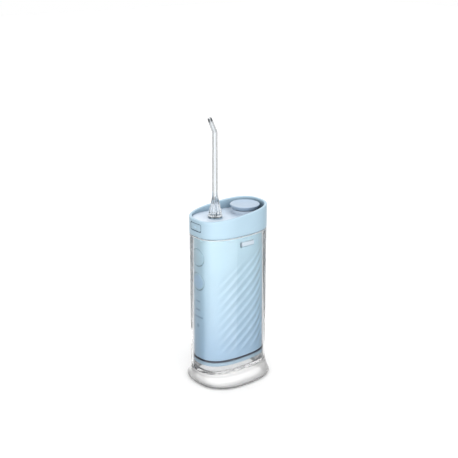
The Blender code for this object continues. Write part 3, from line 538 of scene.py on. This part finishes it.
def make_finishes():
    """Every material, named for what it is."""
    # Clear copolyester: colourless and bright, with a milky line where a wall turns away
    FINISH["tank"] = clear_plastic("clear_copolyester", 1.45, 0.0, SLEEVE_PAINTED_SHADE, "#FCFDFE",
                                   haze=(0.0, 0.92), mouth=TANK_TOP - 0.6)
    # The same in a thick satin moulding: it scatters what shines through, and painted shade greys its lower
    # edge
    FINISH["foot"] = clear_plastic("clear_copolyester_thick", 1.38, 0.22, FOOT_PAINTED_SHADE, "#FCFCFD",
                                   haze=(0.3, 0.4))
    # Clear polycarbonate: a little denser, with painted shade that darkens its edges and flange
    FINISH["nozzle"] = clear_plastic("clear_polycarbonate", 1.58, 0.0, FLANGE_PAINTED_SHADE, "#6E7478",
                                     edge_falloff=2.0)
    # Satin ABS: soft broad highlights that show the fine mould grain, and painted light that makes the shell
    # and buttons lighter towards the head
    for name, kind in (("shell", "satin_abs_blue"), ("button", "satin_abs_button")):
        FINISH[name] = moulded(kind, "#9ABBD6", "#CAEAF6", 0.34, 0.5, 0.2, coat=0.75, painted_light=0.85)
    # Painted shade darkens the head, deck and stopper in their corners and joints
    FINISH["head"] = moulded("satin_abs_pale_blue", "#9EB7C6", "#A3BCCB", 0.36, 0.5, 0.2, painted_shade=0.75)
    FINISH["lip"] = moulded("satin_abs_pale_blue_lip", "#9BB5C6", "#A8C2D3", 0.36, 0.5, 0.2)
    FINISH["deck"] = moulded("satin_abs_deck", "#C3D0DE", "#C9D5E2", 0.4, 0.5, 0.2, painted_shade=0.45)
    FINISH["button_dark"] = moulded("satin_abs_button_shaded", "#AACBE5", "#B2D3EC", 0.36, 0.4, 0.15)
    # Painted shade: the stopper takes a darker, greyer copy of the pale blue
    FINISH["cap"] = moulded("satin_abs_cap_painted_shade", "#98AABC", "#9EB0C2", 0.3, 0.5, 0.2, painted_shade=0.6)
    # Painted highlight: the side catch gets a near-white blue that stands in for the highlight on its raised
    # bar
    FINISH["catch"] = moulded("satin_abs_catch_painted_highlight", "#DCE9F4", "#E4EFF8", 0.3, 0.5, 0.2)
    # Silicone and elastomer: dull, with no sharp highlights at all
    FINISH["seal"] = moulded("moulded_silicone_navy", "#1E2A40", "#26344C", 0.5, 0.6, 0.2)
    FINISH["pad"] = moulded("elastomer_grey", "#8E9296", "#9A9EA2", 0.7, 0.4, 0.5)
    FINISH["hose"] = moulded("silicone_milky", "#C9D0D4", "#D8DEE1", 0.45, 0.8, 0.2)
    # Works: matt nylon, black housings, battery film and light guides
    FINISH["nylon"] = moulded("moulded_nylon", "#D2D3D2", "#DEDFDE", 0.5, 0.5, 0.4)
    FINISH["black"] = moulded("moulded_black", "#141416", "#1B1B1E", 0.45, 0.4, 0.3)
    FINISH["wrap"] = moulded("shrink_wrap_teal", "#1F5D78", "#246A87", 0.3, 1.5, 0.15)
    FINISH["guide"] = moulded("milky_light_guide", "#7E9DB8", "#88A6C0", 0.4, 0.5, 0.1)
    # Bright drawn steel and warm turned brass, with fine lines along the work
    FINISH["steel"] = metal("drawn_steel", "#B9BABD", 0.3, (0.1, 1.0, 1.0))
    FINISH["brass"] = metal("turned_brass", "#C9A25A", 0.3, (1.0, 0.1, 1.0))
    FINISH["board"] = board_laminate()


# ---------------------------------------------------------------- visible pieces

def put(obj, body, slot, *nodes):
    """Hand a finished piece to the frame in place of its plain nodes."""
    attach(obj, body)
    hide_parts(*nodes)


def tank_sleeve():
    """Clear cup with a softly rounded mouth and floor."""
    profile = [(0.0, TANK_BOTTOM), (0.0, TANK_TOP), (TANK_WALL, TANK_TOP), (TANK_WALL, TANK_FLOOR_TOP)]
    rings = [ring_at(inset, height) for inset, height in fillet(profile, 0.35)]
    put(to_object("tank_sleeve_clear", skin(rings), FINISH["tank"]), "tank", "clear", "tank_sleeve")


def tank_foot():
    """Thick clear skirt whose broad sides sweep outwards to a rounded edge."""
    def ring(length_gain, width_gain, height):
        return oblong(HALF_WIDTH + width_gain, HALF_LENGTH + length_gain, height)

    spread_x = FOOT_HIGH.x - HALF_WIDTH
    spread_y = FOOT_HIGH.y - HALF_LENGTH
    rings = []
    steps = 14
    for step in range(steps + 1):
        share = step / steps
        flare = share ** FOOT_FLARE
        rings.append(ring(spread_y * flare, spread_x * flare, FOOT_TOP + (FOOT_EDGE - FOOT_TOP) * share))
    drop = FOOT_EDGE - FOOT_BOTTOM
    for step in range(1, 7):
        turn = pi / 2 * step / 6
        back = drop * 0.8 * (1 - cos(turn))
        rings.append(ring(spread_y - back, spread_x - back, FOOT_EDGE - drop * sin(turn)))
    groove = PAD_INSET - PAD_GAP
    inner = PAD_INSET + PAD_BREADTH + PAD_GAP
    rings.append(ring(spread_y - groove, spread_x - groove, FOOT_BOTTOM))
    rings.append(ring(spread_y - groove, spread_x - groove, PAD_TOP + PAD_GAP))
    rings.append(ring(spread_y - inner, spread_x - inner, PAD_TOP + PAD_GAP))
    rings.append(ring(-FOOT_BORE_INSET, -FOOT_BORE_INSET, FOOT_TOP))
    skirt = to_object("tank_foot_clear", skin(rings, closed=True), FINISH["foot"])
    put(skirt, "tank", "clear", "tank_foot")


def foot_pad():
    """Grip ring under the foot."""
    low = PAD_INSET
    high = PAD_INSET + PAD_BREADTH
    profile = fillet([(low, 0.0), (low, PAD_TOP), (high, PAD_TOP), (high, 0.0)], 0.3, closed=True)
    rings = [oblong(FOOT_HIGH.x - inset, FOOT_HIGH.y - inset, height) for inset, height in profile]
    put(to_object("foot_grip", skin(rings, closed=True), FINISH["pad"]), "tank", "grey_rubber", "foot_pad")


def geometry_tree(name, numbers):
    """Node group with number inputs and a finish; returns it and its inputs."""
    tree = bpy.data.node_groups.new(name, "GeometryNodeTree")
    face = tree.interface
    face.new_socket("Start", in_out="INPUT", socket_type="NodeSocketGeometry")
    for number in numbers:
        face.new_socket(number, in_out="INPUT", socket_type="NodeSocketFloat")
    face.new_socket("Finish", in_out="INPUT", socket_type="NodeSocketMaterial")
    face.new_socket("Result", in_out="OUTPUT", socket_type="NodeSocketGeometry")
    return tree, add(tree, "NodeGroupInput").outputs


def finished(tree, shape, given):
    """End a node group: the shape made real, with its finish."""
    whole = add(tree, "GeometryNodeRealizeInstances", {"Geometry": shape})
    painted = add(tree, "GeometryNodeSetMaterial", {"Geometry": whole.outputs[0],
                                                    "Material": given["Finish"]})
    add(tree, "NodeGroupOutput", {"Result": painted.outputs[0]})
    return tree


def flute_tree():
    """Node group that presses slanting flutes into the zone marked on a shell."""
    tree, given = geometry_tree("slanting flutes", ("Pitch", "Rise", "Depth"))
    here = add(tree, "ShaderNodeSeparateXYZ", {"Vector": add(tree, "GeometryNodeInputPosition").outputs[0]})
    along, zone = [add(tree, "GeometryNodeInputNamedAttribute", {"Name": name}, data_type="FLOAT")
                   for name in ("girth", "flute_zone")]
    lean = add(tree, "ShaderNodeMath", {0: along.outputs["Attribute"], 1: given["Rise"]},
               operation="MULTIPLY")
    level = add(tree, "ShaderNodeMath", {0: here.outputs["Z"], 1: lean.outputs[0]}, operation="SUBTRACT")
    turns = add(tree, "ShaderNodeMath", {0: level.outputs[0], 1: given["Pitch"]}, operation="DIVIDE")
    phase = add(tree, "ShaderNodeMath", {0: turns.outputs[0]}, operation="FRACT")
    # A long gentle ramp up to each crest and a short drop behind it
    ramp = add(tree, "ShaderNodeMapRange", {"Value": phase.outputs[0], "From Max": FLUTE_CREST},
               interpolation_type="SMOOTHSTEP")
    drop = add(tree, "ShaderNodeMapRange", {"Value": phase.outputs[0], "From Min": FLUTE_CREST},
               interpolation_type="SMOOTHSTEP")
    swell = add(tree, "ShaderNodeMath", {0: ramp.outputs[0], 1: drop.outputs[0]}, operation="SUBTRACT")
    wave = add(tree, "ShaderNodeMath", {0: swell.outputs[0], 1: FLUTE_SHARPNESS}, operation="POWER")
    deep = add(tree, "ShaderNodeMath", {0: 1.0, 1: wave.outputs[0]}, operation="SUBTRACT")
    masked = add(tree, "ShaderNodeMath", {0: deep.outputs[0], 1: zone.outputs["Attribute"]},
                 operation="MULTIPLY")
    press = add(tree, "ShaderNodeMath", {0: masked.outputs[0], 1: given["Depth"]}, operation="MULTIPLY")
    inward = add(tree, "ShaderNodeMath", {0: press.outputs[0], 1: -1.0}, operation="MULTIPLY")
    offset = add(tree, "ShaderNodeVectorMath", {0: add(tree, "GeometryNodeInputNormal").outputs[0],
                                                "Scale": inward.outputs[0]}, operation="SCALE")
    moved = add(tree, "GeometryNodeSetPosition", {"Geometry": given["Start"], "Offset": offset.outputs[0]})
    return finished(tree, moved.outputs[0], given)


def coil_tree():
    """Node group that winds a round wire into a compression spring along +Z."""
    tree, given = geometry_tree("wound spring", ("Turns", "Coil radius", "Wire radius", "Length"))
    wound = add(tree, "GeometryNodeCurveSpiral", {"Resolution": 28, "Rotations": given["Turns"],
                                                  "Start Radius": given["Coil radius"],
                                                  "End Radius": given["Coil radius"],
                                                  "Height": given["Length"]})
    round_wire = add(tree, "GeometryNodeCurvePrimitiveCircle", {"Resolution": 12,
                                                                "Radius": given["Wire radius"]})
    wire = add(tree, "GeometryNodeCurveToMesh", {"Curve": wound.outputs[0],
                                                 "Profile Curve": round_wire.outputs[0], "Fill Caps": True})
    return finished(tree, wire.outputs[0], given)


def grow(obj, tree, wanted):
    """Run a node group on an object with the named inputs, and keep the result as its mesh."""
    change = obj.modifiers.new(tree.name, "NODES")
    change.node_group = tree
    for item in tree.interface.items_tree:
        if item.in_out == "INPUT" and item.name in wanted:
            change[item.identifier] = wanted[item.name]
    settle(obj)


def smooth_step(value, low, high):
    """0 below low, 1 above high, and a smooth climb between."""
    share = min(max((value - low) / (high - low), 0.0), 1.0)
    return share * share * (3 - 2 * share)


def shell_wall():
    """Shell skin before its windows are cut, with girth and flute-zone marks on its points."""
    inwards, upwards = SHELL_CHAMFER
    climb = SHELL_TOP - SHELL_BOTTOM - upwards
    heights = [SHELL_BOTTOM + upwards + climb * i / SHELL_ROWS for i in range(SHELL_ROWS + 1)]
    rings = [ring_at(SHELL_INSET + inwards, SHELL_BOTTOM)]
    rings += [ring_at(SHELL_INSET, height) for height in heights]
    rings += [ring_at(SHELL_INSET + SHELL_WALL, SHELL_TOP), ring_at(SHELL_INSET + SHELL_WALL, SHELL_BOTTOM)]
    obj = to_object("body_shell_fluted", skin(rings, closed=True), FINISH["shell"])
    mesh = obj.data
    girth = mesh.attributes.new("girth", "FLOAT", "POINT")
    zone = mesh.attributes.new("flute_zone", "FLOAT", "POINT")
    for vert in mesh.vertices:
        x, y, z = vert.co / MM
        # Round the ends the flutes follow the turn of the wall instead of the straight side
        bend = max(0.0, (HALF_WIDTH - SHELL_INSET) - abs(x))
        distance = y + (bend if y > 0 else -bend)
        front_fade = smooth_step(y, -27, -11) * (1 + 0.9 * smooth_step(y, 8, 27))
        top_fade = 1 - smooth_step(z - 0.45 * y, 92, 104)
        low_fade = smooth_step(z, 24, 34)
        girth.data[vert.index].value = distance * MM
        zone.data[vert.index].value = front_fade * top_fade * low_fade if is_outer(x, y) else 0.0
    return obj


def is_outer(x, y):
    """True on the shell's outer skin."""
    across = abs(x) / (HALF_WIDTH - SHELL_INSET)
    along = abs(y) / (HALF_LENGTH - SHELL_INSET)
    return across ** SQUARENESS + along ** SQUARENESS > 0.985


def body_shell():
    """Fluted shell with windows for the buttons, lights, release, catch and port."""
    shell = shell_wall()
    grow(shell, flute_tree(), {"Pitch": FLUTE_PITCH * MM, "Rise": FLUTE_RISE, "Depth": FLUTE_DEPTH * MM,
                               "Finish": FINISH["shell"]})
    cutters = []
    start = -HALF_LENGTH - 2
    reach = (start, start + WINDOW_DEPTH)
    for height in (POWER_Z, MODE_Z):
        cutters.append(cylinder_cutter("hole", BUTTON_RADIUS + BUTTON_HOLE_GAP, (0, start, height),
                                       (0, 1, 0), WINDOW_DEPTH, 96))
    for number in (1, 2, 3):
        wide, _, tall = spans("mode_light_{}".format(number), SLOT_GAP)
        cutters.append(box_cutter("slot", wide, reach, tall))
    low, high = node_box("charge_light")
    middle = (low + high) / 2
    cutters.append(cylinder_cutter("hole", (high.x - low.x) / 2 + SLOT_GAP, (0, start, middle.z), (0, 1, 0),
                                   WINDOW_DEPTH))
    wide, _, tall = spans("release_button", 0.2)
    cutters.append(box_cutter("notch", wide, reach, (tall[0], SHELL_TOP + 5)))
    cutters.append(box_cutter("notch", *PORT_NOTCH))
    cutters.append(box_cutter("window", *CATCH_WINDOW, 0.6))
    combine(shell, cutters, "DIFFERENCE")
    put(shell, "handle", "light_blue", "body_shell")


def collar():
    """Head band with a soft slanted rim and the release button's window."""
    sides = fillet([(0.0, COLLAR_BOTTOM), (0.0, RIM_HEIGHT), (COLLAR_WALL, RIM_HEIGHT),
                    (COLLAR_WALL, COLLAR_BOTTOM)], 0.75, closed=True)
    dense = []
    for start, stop in zip(sides, sides[1:] + sides[:1]):
        dense.append(start)
        if abs(stop[1] - start[1]) > 4:
            for step in range(1, 8):
                dense.append((start[0], start[1] + (stop[1] - start[1]) * step / 8))
    rings = rim_rise([ring_at(inset, height) for inset, height in dense], COLLAR_BOTTOM)
    band = to_object("collar_band", skin(rings, closed=True), FINISH["head"])
    wide, _, tall = spans("release_button", 0.4)
    window = box_cutter("window", wide, COLLAR_FRONT, tall, 1.5)
    _, deep, tall = spans("port_flap", 0.15)
    port = box_cutter("window", COLLAR_SIDE, deep, tall, 1.2)
    combine(band, [window, port], "DIFFERENCE")
    put(band, "handle", "pale_blue", "collar")


def deck():
    """Sunk top plate with the stopper's neck and the nozzle seat's hole."""
    inset = COLLAR_WALL + 0.12
    low = DECK_HEIGHT - DECK_THICKNESS
    profile = fillet([(inset + 3, low), (inset, low), (inset, DECK_HEIGHT), (inset + 3, DECK_HEIGHT)], 0.25)
    rings = [ring_at(depth, height, DECK_SLOPE) for depth, height in profile]
    plate = to_object("deck_plate", skin(rings), FINISH["deck"])
    neck_profile = fillet([(NECK_RADIUS, DECK_HEIGHT - 1.4), (NECK_RADIUS, NECK_TOP), (NECK_BORE, NECK_TOP),
                           (NECK_BORE, NECK_BOTTOM)], 0.3)
    neck = turned("neck", neck_profile, FINISH["head"], (0, FILL_Y))
    stop = box_cutter("stop", (-2.2, 2.2), (-0.2, 1.0), (NECK_BOTTOM, DECK_HEIGHT - 0.5))
    combine(plate, [neck, stop], "UNION")
    bore = cylinder_cutter("bore", NECK_BORE, (0, FILL_Y, 120), (0, 0, 1), 20)
    seat = cylinder_cutter("seat", SEAT_BORE, (0, NOZZLE_Y, 120), (0, 0, 1), 20)
    combine(plate, [bore, seat], "DIFFERENCE")
    put(plate, "handle", "pale_blue", "deck")


def end_cap():
    """Piston end below the shell, with a fine step and its dark seal."""
    edge = TANK_WALL + 0.4
    plug = SHELL_INSET + SHELL_WALL + 0.4
    profile = [(edge + 6, END_BOTTOM), (edge + 0.3, END_BOTTOM), (edge, END_BOTTOM + 0.6),
               (edge, END_LIP_TOP), (plug, END_LIP_TOP), (plug, END_TOP), (plug + 6, END_TOP)]
    rings = [ring_at(inset, height) for inset, height in fillet(profile, 0.3)]
    cap = to_object("end_cap_turned", skin(rings), FINISH["lip"])
    low, high = node_box("intake_filter")
    middle = (low + high) / 2
    recess = cylinder_cutter("recess", 3.25, (middle.x, middle.y, 10), (0, 0, 1), 9)
    hole = cylinder_cutter("hole", 2.1, (*SUCTION_PLACE, 10), (0, 0, 1), 20)
    wide, deep, _ = spans("fill_duct", 0.2)
    slot = box_cutter("slot", wide, deep, (10, 30), 0.8)
    combine(cap, [recess, hole, slot], "DIFFERENCE")
    put(cap, "handle", "pale_blue", "end_cap")
    low, high = node_box("tank_seal")
    inner = SHELL_INSET + SHELL_WALL + 0.1
    outer = TANK_WALL + 0.3
    profile = fillet([(outer, low.z), (outer, high.z), (inner, high.z), (inner, low.z)], 0.3, closed=True)
    rings = [ring_at(inset, height) for inset, height in profile]
    seal = to_object("tank_seal_ring", skin(rings, closed=True), FINISH["seal"])
    put(seal, "handle", "seal", "tank_seal")


def nozzle():
    """Clear jet nozzle: ribbed flare on a flange, long taper, bent tip and a fine bore."""
    count = 96

    def section(radius, centre, angle, rib=0.0):
        tilt = Matrix.Rotation(angle, 3, "X")
        ring = []
        for index in range(count):
            turn = 2 * pi * index / count
            wide = radius - rib * (0.5 - 0.5 * cos(NOZZLE_RIBS * turn))
            spoke = Vector((wide * sin(turn), wide * cos(turn), 0))
            ring.append(centre + tilt @ spoke + Vector((0, NOZZLE_Y, 0)))
        return ring

    low = node_box("nozzle")[0].z
    top = FLANGE_BOTTOM + FLANGE_THICKNESS
    spine = [(STEM_RADIUS - 0.4, low, 0), (STEM_RADIUS, low + 0.5, 0), (STEM_RADIUS, FLANGE_BOTTOM, 0),
             (FLANGE_RADIUS - 0.3, FLANGE_BOTTOM, 0), (FLANGE_RADIUS, FLANGE_BOTTOM + 0.3, 0),
             (FLANGE_RADIUS, top - 0.25, 0), (FLANGE_RADIUS - 0.25, top, 0),
             (BELL_RADIUS + 0.05, top + 0.15, 0)]
    for step in range(0, 21):
        share = step / 20
        fall = smooth_step(share, 0.0, 1.0)
        radius = BELL_RADIUS + (BELL_TOP_RADIUS - BELL_RADIUS) * (0.35 * share + 0.65 * fall)
        spine.append((radius, top + 0.4 + (BELL_TOP - top - 0.4) * share, 0.55 * (1 - share) ** 0.6))
    spine += [(radius, height, 0) for radius, height in (*TUBE_TAPER, (TUBE_RADIUS, NOZZLE_BEND))]
    outside = [section(radius, Vector((0, 0, height)), 0.0, rib) for radius, height, rib in spine]
    inside = [(JET_BORE, Vector((0, 0, height)), 0.0) for height in (low, 150.0, NOZZLE_BEND)]
    corner = Vector((0, 0, NOZZLE_BEND))
    bends = 10
    for step in range(1, bends + 1):
        angle = NOZZLE_TILT * step / bends
        centre = corner + Vector((0, cos(angle) - 1, sin(angle))) * NOZZLE_BEND_RADIUS
        outside.append(section(TUBE_RADIUS - 0.09 * step / bends, centre, angle))
        inside.append((JET_BORE, centre, angle))
    along = Vector((0, -sin(NOZZLE_TILT), cos(NOZZLE_TILT)))
    for share, radius in TIP_TAPER:
        outside.append(section(radius, centre + along * NOZZLE_TIP_LENGTH * share, NOZZLE_TILT))
    for share, radius in JET_TAPER:
        inside.append((radius, centre + along * NOZZLE_TIP_LENGTH * share, NOZZLE_TILT))
    rings = outside + [section(radius, place, angle) for radius, place, angle in reversed(inside)]
    clear = to_object("nozzle_clear", skin(rings, closed=True), FINISH["nozzle"], angle=30)
    put(clear, "nozzle", "clear", "nozzle")


def nozzle_ring():
    """Turning seat ring round the nozzle's stem."""
    low, high = node_box("nozzle_ring")
    radius = (high.x - low.x) / 2
    bore = STEM_RADIUS + 0.15
    profile = fillet([(radius, low.z), (radius, high.z), (bore, high.z), (bore, low.z)], 0.35, closed=True)
    put(turned("nozzle_ring_turned", profile, FINISH["head"], (0, NOZZLE_Y), closed=True), "nozzle_seat",
        "pale_blue", "nozzle_ring")


def fill_cap():
    """Stopper: dished disc with a soft edge, over a plug that holds its ring."""
    low, high = node_box("fill_cap")
    groove_low, groove_high = RING_GROOVE
    groove = PLUG_RADIUS - 0.9
    plug = [(PLUG_RADIUS - 0.8, low.z), (PLUG_RADIUS, low.z + 0.8), (PLUG_RADIUS, groove_low),
            (groove, groove_low), (groove, groove_high), (PLUG_RADIUS, groove_high),
            (PLUG_RADIUS, CAP_BOTTOM)]
    disc = [(1.4, CAP_BOTTOM), (0.2, high.z - 0.9), (0.0, high.z - 0.5), (0.35, high.z - 0.1), (0.9, high.z),
            (2.0, high.z - 0.5), (4.5, high.z - 1.25), (9.0, high.z - 1.6)]
    profile = plug + [(CAP_RADIUS - inset, height) for inset, height in disc]
    cap = turned("fill_cap_disc", fillet(profile, 0.25), FINISH["cap"], (0, FILL_Y), count=96)
    put(cap, "fill_stopper", "pale_blue", "fill_cap")


def surface_patch(name, outline_points, middle_z, inset, thickness, finish, edge=0.25):
    """Button-like piece whose face follows the front of the oblong, from (x, z) outline points."""
    steps = [(1.0, thickness), (1.0, edge), (1 - 0.25 * edge / 6, edge * 0.3), (1 - edge / 6, 0.0)]
    steps += [(share, 0.0) for share in (0.9, 0.75, 0.55, 0.3, 0.1)]
    rings = []
    for share, drop in steps:
        rings.append([Vector((x * share, surface_y(x * share, inset) + drop, middle_z + z * share))
                      for x, z in outline_points])
    return to_object(name, skin(rings), finish)


def round_outline(radius, count=96):
    """Circle as (x, z) points."""
    return [(radius * sin(2 * pi * i / count), radius * cos(2 * pi * i / count)) for i in range(count)]


def slab_outline(half_width, half_height, corner, steps=10):
    """Rounded rectangle as (x, z) points."""
    points = []
    for quarter in range(4):
        cx = (half_width - corner) * (1 if quarter in (0, 1) else -1)
        cz = (half_height - corner) * (1 if quarter in (0, 3) else -1)
        for step in range(steps):
            turn = pi / 2 * (quarter + step / steps)
            points.append((cx + corner * sin(turn), cz + corner * cos(turn)))
    return points


def round_buttons():
    """Power and mode buttons: faces flush with the shell; the mode one has a shaded inlay."""
    shape = round_outline(BUTTON_RADIUS - BUTTON_FACE_GAP)
    works = [(4.0, -26.9), (4.0, -25.4), (7.2, -25.4), (7.2, -24.6), (2.0, -24.6), (2.0, -23.6)]
    for name, height in (("power_button", POWER_Z), ("mode_button", MODE_Z)):
        face = surface_patch(name + "_face", shape, height, SHELL_INSET, 2.0, FINISH["button"])
        flange = turned_on_y(name + "_works", works, height, FINISH["button"])
        combine(face, [flange], "UNION")
        put(face, name, "light_blue", name)
    inlay = surface_patch("mode_button_inlay", round_outline(BUTTON_RADIUS - 1.3), MODE_Z,
                          SHELL_INSET - 0.03, 0.3, FINISH["button_dark"], 0.05)
    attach(inlay, "mode_button")


def turned_on_y(name, profile, height, finish):
    """Round piece about a front-to-back axis, from (radius, y) points."""
    rings = [[Vector((x, y, height + z)) for x, z in round_outline(radius, 48)] for radius, y in profile]
    return to_object(name, skin(rings), finish)


def release_button():
    """Rounded bar on the collar's front with a short raised dash."""
    low, high = node_box("release_button")
    middle = (low + high) / 2
    half_width = (high.x - low.x) / 2
    half_height = (high.z - low.z) / 2
    shape = slab_outline(half_width - RELEASE_FACE_GAP, half_height - RELEASE_FACE_GAP, 1.2)
    face = surface_patch("release_button_face", shape, middle.z, 0.0, 1.9, FINISH["head"])
    boss = box_cutter("boss", (-3.0, 3.0), (-29.6, high.y), (127.2, 130.0))
    combine(face, [boss], "UNION")
    put(face, "nozzle_release", "pale_blue", "release_button")
    dash = surface_patch("release_button_dash", slab_outline(1.3, 0.28, 0.27), middle.z, -0.04, 0.3,
                         FINISH["button_dark"], 0.05)
    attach(dash, "nozzle_release")


def release_spring():
    """Wire spring behind the nozzle latch, which on the real flosser shortens against the deck as the button
    goes in; here it is a fixed coil that moves with the button.
    """
    low, high = node_box("release_spring")
    wire = (high.x - low.x) / 2 - SPRING_COIL_RADIUS
    length = high.y - low.y - 2 * wire
    spring = to_object("release_coil", bmesh.new(), FINISH["steel"])
    grow(spring, coil_tree(), {"Turns": SPRING_TURNS, "Coil radius": SPRING_COIL_RADIUS * MM,
                               "Wire radius": wire * MM, "Length": length * MM, "Finish": FINISH["steel"]})
    middle = (low + high) / 2
    spring.data.transform(Matrix.Translation(Vector((0, low.y + wire, middle.z)) * MM)
                          @ Matrix.Rotation(-pi / 2, 4, "X"))
    put(spring, "nozzle_release", "steel", "release_spring")
    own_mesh(spring)


def softened(name, body, slot, finish, width):
    """Frame node with its sharp edges rounded, as a moulding's would be."""
    source = frame["nodes"][name]
    bm = bmesh.new()
    bm.from_mesh(source.data)
    bm.transform(source.matrix_world)
    bmesh.ops.remove_doubles(bm, verts=bm.verts, dist=1e-6)
    bmesh.ops.dissolve_limit(bm, angle_limit=radians(1.5), verts=bm.verts, edges=bm.edges)
    edges = [edge for edge in bm.edges
             if len(edge.link_faces) == 2 and edge.calc_face_angle(0) > radians(35)]
    bmesh.ops.bevel(bm, geom=edges, offset=width * MM, segments=3, profile=0.5, affect="EDGES",
                    clamp_overlap=True)
    put(to_object(name + "_moulded", bm, finish), body, slot, name)


def paint_frame_nodes():
    """Better finishes on the nodes whose shape is already right."""
    by_slot = {"white_plastic": "nylon", "steel": "steel", "brass": "brass", "board_green": "board",
               "black_plastic": "black", "battery_wrap": "wrap", "silicone": "hose", "seal": "seal",
               "light_guide": "guide", "light_blue": "shell", "pale_blue": "head", "clear": "tank",
               "grey_rubber": "pad"}
    slots = {part["node"]: part["material_slot"] for part in frame["record"]["subparts"]}
    for name, obj in frame["nodes"].items():
        finish = FINISH[by_slot[slots[name]]]
        if obj.material_slots:
            for holder in obj.material_slots:
                holder.material = finish
        else:
            obj.data.materials.append(finish)


# ---------------------------------------------------------------- studio

CAMERA_AZIMUTH = radians(52.08)
CAMERA_ELEVATION = radians(18.26)
CAMERA_DISTANCE = 693.4
CAMERA_AIM = 120.9
CAMERA_LENS = 71.46
CAMERA_SHIFT = 0.0014
SENSOR_WIDTH = 36


def camera():
    """Long-lens view from the front right, a little above."""
    level = cos(CAMERA_ELEVATION)
    back = Vector((sin(CAMERA_AZIMUTH) * level, -cos(CAMERA_AZIMUTH) * level, sin(CAMERA_ELEVATION)))
    data = bpy.data.cameras.new("camera")
    data.lens = CAMERA_LENS
    data.sensor_width = SENSOR_WIDTH
    data.shift_x = CAMERA_SHIFT
    eye = linked("camera", data)
    eye.location = (Vector((0, 0, CAMERA_AIM)) + back * CAMERA_DISTANCE) * MM
    eye.rotation_euler = back.to_track_quat("Z", "Y").to_euler()
    bpy.context.scene.camera = eye


# White tent round the object: compass angle from the front (-Y) towards +X, and its brightness.
# The key side fades in softly and ends at a sharp edge; grey gaps give clear plastic its dark edges.
TENT = [(0, 1.4), (16, 1.9), (34, 3.1), (60, 2.8), (84, 2.3), (118.6, 2.3), (119.4, 0.8), (138, 0.7),
        (150, 0.25), (184, 0.25), (198, 1.0), (216, 1.2), (248, 1.3), (270, 1.1), (290, 0.5), (312, 0.3),
        (338, 0.3), (360, 1.4)]
TENT_TOP = 1.6
TENT_SKIRT = 3.0           # limit above the lower edge; below it the limit falls to 1
WALL_BOUNCES = 48
FLOOR_REACH = 3.0          # metres
FLOOR_SHADE = 0.72
FLOOR_GLOW = 0.12


def tent_world():
    """World whose brightness follows the tent, pure white where the camera looks past the object."""
    world = bpy.data.worlds.new("studio")
    bpy.context.scene.world = world
    world.use_nodes = True
    tree = world.node_tree
    tree.nodes.clear()
    view = add(tree, "ShaderNodeTexCoord").outputs["Generated"]
    way = add(tree, "ShaderNodeSeparateXYZ", {"Vector": view})
    front = add(tree, "ShaderNodeMath", {0: way.outputs["Y"], 1: -1.0}, operation="MULTIPLY")
    turn = add(tree, "ShaderNodeMath", {0: way.outputs["X"], 1: front.outputs[0]}, operation="ARCTAN2")
    share = add(tree, "ShaderNodeMath", {0: turn.outputs[0], 1: 2 * pi}, operation="DIVIDE")
    lap = add(tree, "ShaderNodeMath", {0: share.outputs[0], 1: 1.0}, operation="ADD")
    round_tent = add(tree, "ShaderNodeMath", {0: lap.outputs[0]}, operation="FRACT")
    wall = add(tree, "ShaderNodeValToRGB", {"Fac": round_tent.outputs[0]})
    brightest = max(value for angle, value in TENT)
    fill_ramp(wall, [(angle / 360, (*[value / brightest] * 3, 1.0)) for angle, value in TENT])
    walls = add(tree, "ShaderNodeMath", {0: wall.outputs["Color"], 1: brightest}, operation="MULTIPLY")
    roof = add(tree, "ShaderNodeMapRange", {"Value": way.outputs["Z"], "From Min": 0.45, "From Max": 0.85},
               interpolation_type="SMOOTHSTEP")
    skirt = add(tree, "ShaderNodeMapRange", {"Value": way.outputs["Z"], "From Min": -0.46, "From Max": -0.32,
                                             "To Min": 1.0, "To Max": TENT_SKIRT},
                interpolation_type="SMOOTHSTEP")
    hung = add(tree, "ShaderNodeMath", {0: walls.outputs[0], 1: skirt.outputs[0]}, operation="MINIMUM")
    level = add(tree, "ShaderNodeMix", {"Factor": roof.outputs[0], "A": hung.outputs[0], "B": TENT_TOP})
    rays = add(tree, "ShaderNodeLightPath")
    shown = add(tree, "ShaderNodeMix", {"Factor": rays.outputs["Is Camera Ray"], "A": level.outputs["Result"],
                                        "B": 1.0})
    light = add(tree, "ShaderNodeBackground", {"Strength": shown.outputs["Result"]})
    light.inputs["Color"].default_value = (1, 1, 1, 1)
    add(tree, "ShaderNodeOutputWorld", {"Surface": light.outputs[0]})


def studio():
    """White tent and a pale floor."""
    scene = bpy.context.scene
    scene.view_settings.view_transform = "Standard"
    # Light runs round inside the clear walls many times before it leaves them
    scene.cycles.max_bounces = WALL_BOUNCES
    scene.cycles.transmission_bounces = WALL_BOUNCES
    scene.cycles.glossy_bounces = WALL_BOUNCES
    tent_world()
    data = bpy.data.meshes.new("floor")
    far = FLOOR_REACH
    data.from_pydata([(-far, -far, 0), (far, -far, 0), (far, far, 0), (-far, far, 0)], [], [(0, 1, 2, 3)])
    floor = linked("floor", data)
    made, _, shader = new_material("studio_paper")
    shader.inputs["Base Color"].default_value = (FLOOR_SHADE, FLOOR_SHADE, FLOOR_SHADE, 1.0)
    shader.inputs["Roughness"].default_value = 0.9
    shader.inputs["Emission Color"].default_value = (1, 1, 1, 1)
    shader.inputs["Emission Strength"].default_value = FLOOR_GLOW
    data.materials.append(made)
    floor.visible_diffuse = False
    floor.visible_glossy = False
    floor.visible_transmission = False


make_finishes()
camera()
studio()
paint_frame_nodes()
tank_sleeve()
tank_foot()
foot_pad()
body_shell()
collar()
deck()
end_cap()
nozzle()
nozzle_ring()
fill_cap()
round_buttons()
release_button()
release_spring()
# The side catch's pale finish is a painted highlight
softened("side_catch", "side_catch", "light_blue", FINISH["catch"], 0.3)
softened("port_flap", "port_flap", "grey_rubber", FINISH["pad"], 0.3)
